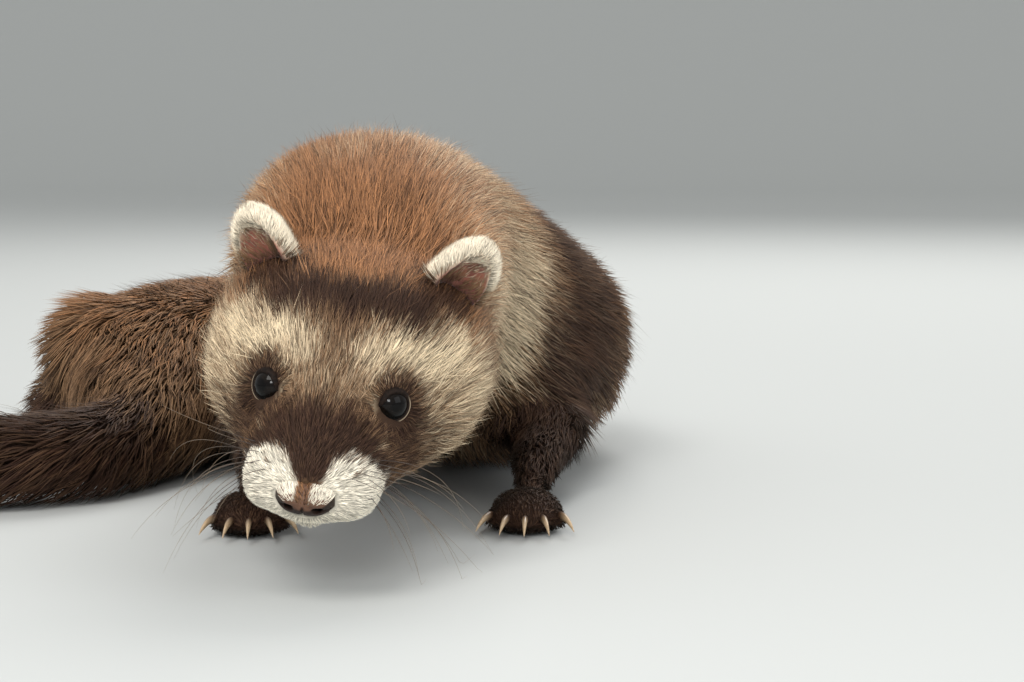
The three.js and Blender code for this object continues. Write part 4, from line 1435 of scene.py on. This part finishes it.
ear_paint, ear_tree, ear_shader = material("ear_skin", Roughness=0.55, Subsurface_Weight=0.15,
                                           Subsurface_Radius=(0.002, 0.0007, 0.0004), Sheen_Weight=0.3)
ear_parts = parts_of(ear_tree, "marking")
ear_noise = noise(ear_tree, 700.0, 4.0)
ear_colour = mix(ear_tree, eased(ear_tree, ear_noise, 0.35, 0.65), paint("a8624f"), paint("80483a"))
ear_colour = mix(ear_tree, ear_parts[1], ear_colour, paint("271814"))
ear_colour = mix(ear_tree, ear_parts[0], ear_colour, paint("d8cbb0"))
link(ear_tree, ear_colour, ear_shader.inputs["Base Color"])
bumped(ear_tree, ear_shader, ear_noise, 0.4, 0.0003)
print("ear directions:", ear_axes(1).round(2).tolist())

# %% Ear shells and their fur
for side, name in SIDES.items():
    axes = ear_axes(side)
    points, faces = remeshed("ear", ["ear_" + name], 0.25 * MM, 0.45 * MM)
    points = spread(points, edges_of(faces), 8)
    local = EAR_BASE + (ear_view(points, side) - EAR_BASE) * EAR_SHRINK
    points = from_head(local @ axes + EAR_ROOT * (side, 1, 1))
    faces, normals = facing_out(points, faces)
    points = points - normals * 0.3 * MM

    up = local[:, 2]
    aside = local[:, 0]
    out = np.hypot(aside / EAR_HALF[0], (up + 0.4) / EAR_HALF[2])
    brim = 0.88 - 0.1 * ramp(up, 0, 6) + 0.08 * ramp(aside, 0.5, 4.5)  # where the brush begins
    inside = ramp(-(normals @ HEAD_AXES @ axes[1]), -0.15, 0.35) * ramp(-out, -brim - 0.06, -brim + 0.1)
    rim = ramp(out, brim - 0.1, brim + 0.06) * ramp(up, -5, 0.5)
    behind = (1 - inside) * (1 - rim)
    outer = 0.9 * ramp(aside, 1, 4) * ramp(-up, -5.5, -1.5)
    white = np.clip(0.65 * rim * (1 - outer) + 0.1 * inside * ramp(up, 3, 8), 0, 1)
    dark = np.maximum(inside * ramp(-up, -3.5, 2), 0.75 * behind * ramp(-up, -1, 5))
    pale = np.maximum(0.5 * behind * ramp(up, 0, 8), rim * (1 - 0.6 * outer))
    marks = np.stack([white, dark, pale, 0.6 * behind], 1)
    ear_mesh = mesh_of("ear_shell_" + name, points, faces)
    write_colours(ear_mesh, "marking", marks[:, :3])
    piece(ear_mesh, ear_paint, ("ear_" + name,))

    outward = unit(np.stack([aside / EAR_HALF[0], np.full(len(local), 0.3), up / EAR_HALF[2] + 0.5], 1))
    outward = outward @ axes @ HEAD_AXES.T
    ear_fields = {
        "normal": normals, "along": unit(outward - normals * dot(outward, normals)), "marks": marks,
        "inside": inside, "up": up,
        "uv": np.stack([0.1 + 0.05 * side + 0.004 * aside, 0.445 + 0.0006 * up], 1),
        "length": 3.0 * rim + (3.0 + 3.0 * ramp(-up, -3, 2)) * inside + 5.0 * behind,
        "height": 1.5 * rim + 0.9 * inside + 1.5 * behind,
    }
    gap = 0.24 * rim + (0.8 - 0.4 * ramp(-up, -4, 1)) * inside + 0.4 * behind
    roots = scatter(points, faces, ear_fields, np.maximum(gap, 0.22), 50 + side)
    within = roots["inside"] > 0.5
    high = ramp(roots["up"], 1, 4)
    some = RNG.uniform(size=len(within)) > 0.6
    for column, values in enumerate((0.4 * some * high, 0.95 * ramp(-roots["up"], -2, 2.5), 0.25 * high)):
        roots["marks"][within, column] = values[within]
    roots = chosen(roots, roots["height"] > 0.2)
    tone = RNG.uniform(0.4, 1, len(roots["at"]))
    ear_coat = hairs("coat_ear_" + name, roots, roots["length"], EAR_HAIR_WIDTH, roots["height"], tone,
                     seed=60 + side, wisp=0.2)
    piece(ear_coat, coat_paint)
    print("ear", name, "hairs:", len(tone))

# %% [markdown]
# ## Claws
# Each toe ends in a thin, curved claw that does not draw in. A claw is a tapering tube swept along a short
# curve, pale horn with a darker base. One mesh holds all twenty.

# %% Claws and whiskers are tapering tubes
def tubes(name, paths, radii, around=6, squash=1.0):
    """Closed tapering tubes along paths: (count, sections, 3) with radii (count, sections), all in metres."""
    count, sections, _ = paths.shape
    run = unit(np.gradient(paths, axis=1))
    side = unit(np.cross(run, (0.02, 0.03, 1.0)))
    up = np.cross(side, run)
    angle = np.arange(around) / around * 2 * math.pi
    ring = side[:, :, None] * np.cos(angle)[:, None] * squash + up[:, :, None] * np.sin(angle)[:, None]
    points = (paths[:, :, None] + ring * radii[:, :, None, None]).reshape(-1, 3)
    one = np.roll(ring_faces(sections, around)[:, ::-1], 1, axis=1)
    last = (sections - 1) * around
    caps = [(0, around - 1 - q, around - 2 - q) for q in range(around - 2)]
    caps += [(last, last + q + 1, last + q + 2) for q in range(around - 2)]
    starts = sections * around * np.arange(count)[:, None, None]
    quads = (one + starts).reshape(-1, 4).tolist()
    ends = (np.array(caps) + starts).reshape(-1, 3).tolist()
    mesh = mesh_from_lists(name, points.tolist(), quads + ends)
    along = np.tile(np.repeat(np.linspace(0, 1, sections), around), count)
    write_colours(mesh, "strand", np.stack([along, np.full(len(along), 0.5)], 1))
    return mesh


CLAW_LENGTH = 8.0
CLAW_WIDTH = [(0, 1.05), (0.3, 0.95), (0.8, 0.45), (1, 0.08)]  # half of it, from the toe to the point
claw_paths = []
t = np.linspace(0, 1, 9)[:, None]
claw_curve = np.array([0, 0, 1]) * (1.0 + 1.6 * t - 3.9 * t ** 2)
for toe_middle, ahead, length in TOES:
    path = toe_middle + ahead * (length / 2 + 0.6 + t * CLAW_LENGTH) + claw_curve
    claw_paths.append((path + SOLIDS_SHIFT) * MM)
claw_radii = np.tile(table(t[:, 0], CLAW_WIDTH) * MM, (len(TOES), 1))
claw_mesh = tubes("claws", np.array(claw_paths), claw_radii, 8, 0.72)
claw_points = rows(claw_mesh, "vertices", "co", 3)
claw_points[:, 2] = np.maximum(claw_points[:, 2], 0.15 * MM)
claw_mesh.vertices.foreach_set("co", claw_points.ravel())
claw_paint, claw_tree, claw_shader = material("claw_horn", Roughness=0.35, Coat_Weight=0.2)
towards_point = eased(claw_tree, parts_of(claw_tree, "strand")[0], 0.1, 0.7)
claw_clouds = eased(claw_tree, noise(claw_tree, 900.0), 0.45, 0.75, 0.0, 0.4)
claw_colour = mix(claw_tree, towards_point, paint("4a3529"), paint("c4ab8a"))
claw_colour = mix(claw_tree, claw_clouds, claw_colour, paint("8a6a4c"))
link(claw_tree, claw_colour, claw_shader.inputs["Base Color"])
piece(claw_mesh, claw_paint)
print("claws:", len(claw_paths))

# %% [markdown]
# ## Whiskers
# The whiskers grow in four rows from dark spots on the lip pads, the longest at the back. Each starts
# outwards and then sags in one long curve. They are tubes, about 0.15 millimetres thick at the root. Three
# more stand above each eye.

# %% Whiskers
BROW_WHISKERS = [(9.5, -17, 13), (12.5, -15.5, 13.2), (15, -14, 12)]
BROW_WHISKER_LENGTH = 15
whisker_rng = np.random.default_rng(5)
skin_tree = tree_of(skin_points)
whisker_paths = []
whisker_radii = []
t = np.linspace(0, 1, 18)[:, None]


def on_skin(spot, side):
    """The point of the skin nearest to a place on the head, in the head's frame."""
    near, _, _ = skin_tree.find(from_head(np.array(spot) * (side, 1, 1)))
    return to_head(np.array(near)[None])[0]


def grow(path, thick, thin):
    """Adds a whisker that gets thinner towards its tip."""
    whisker_paths.append(from_head(path))
    whisker_radii.append((thick * (1 - t[:, 0]) + thin) * MM)


for side in (1, -1):
    for i, spot in enumerate(WHISKER_ROOTS):
        row, column = divmod(i, WHISKER_COLUMNS)
        if column == 0 and row % 2:
            continue
        long = np.interp(column, [0, 4], [13, 33]) * whisker_rng.uniform(0.8, 1.12)
        out = np.array([side * 0.9, -0.45 + 0.18 * column, 0.12 - 0.22 * row])
        out = unit(out + whisker_rng.normal(0, 0.12, 3))
        sag = np.array([side * 0.1, 0.35, -0.9 + 0.5 * (row == 0)])
        sag = unit(sag + whisker_rng.normal(0, 0.15, 3)) * long * whisker_rng.uniform(0.5, 1.0)
        grow(on_skin(spot, side) + out * long * (t - 0.3 * t ** 2) + sag * t ** 2, 0.062, 0.014)
    for spot in BROW_WHISKERS:
        out = unit(np.array([side * 0.55, -0.35, 0.8]) + whisker_rng.normal(0, 0.15, 3))
        sag = np.array([side * 0.3, 0.9, 0]) * 7 * t ** 2
        grow(on_skin(spot, side) + out * BROW_WHISKER_LENGTH * t + sag, 0.04, 0.012)
paths = np.array(whisker_paths)
paths[..., 2] = np.maximum(paths[..., 2], 0.8 * MM)
whisker_mesh = tubes("whiskers", paths, np.array(whisker_radii), 5)
whisker_paint, whisker_tree, whisker_shader = material("whisker_hair", Roughness=0.35)
towards_tip = eased(whisker_tree, parts_of(whisker_tree, "strand")[0], 0.0, 0.9)
whisker_colour = mix(whisker_tree, towards_tip, paint("2a1f1a"), paint("94806a"))
link(whisker_tree, whisker_colour, whisker_shader.inputs["Base Color"])
piece(whisker_mesh, whisker_paint)
print("whiskers:", len(whisker_paths))
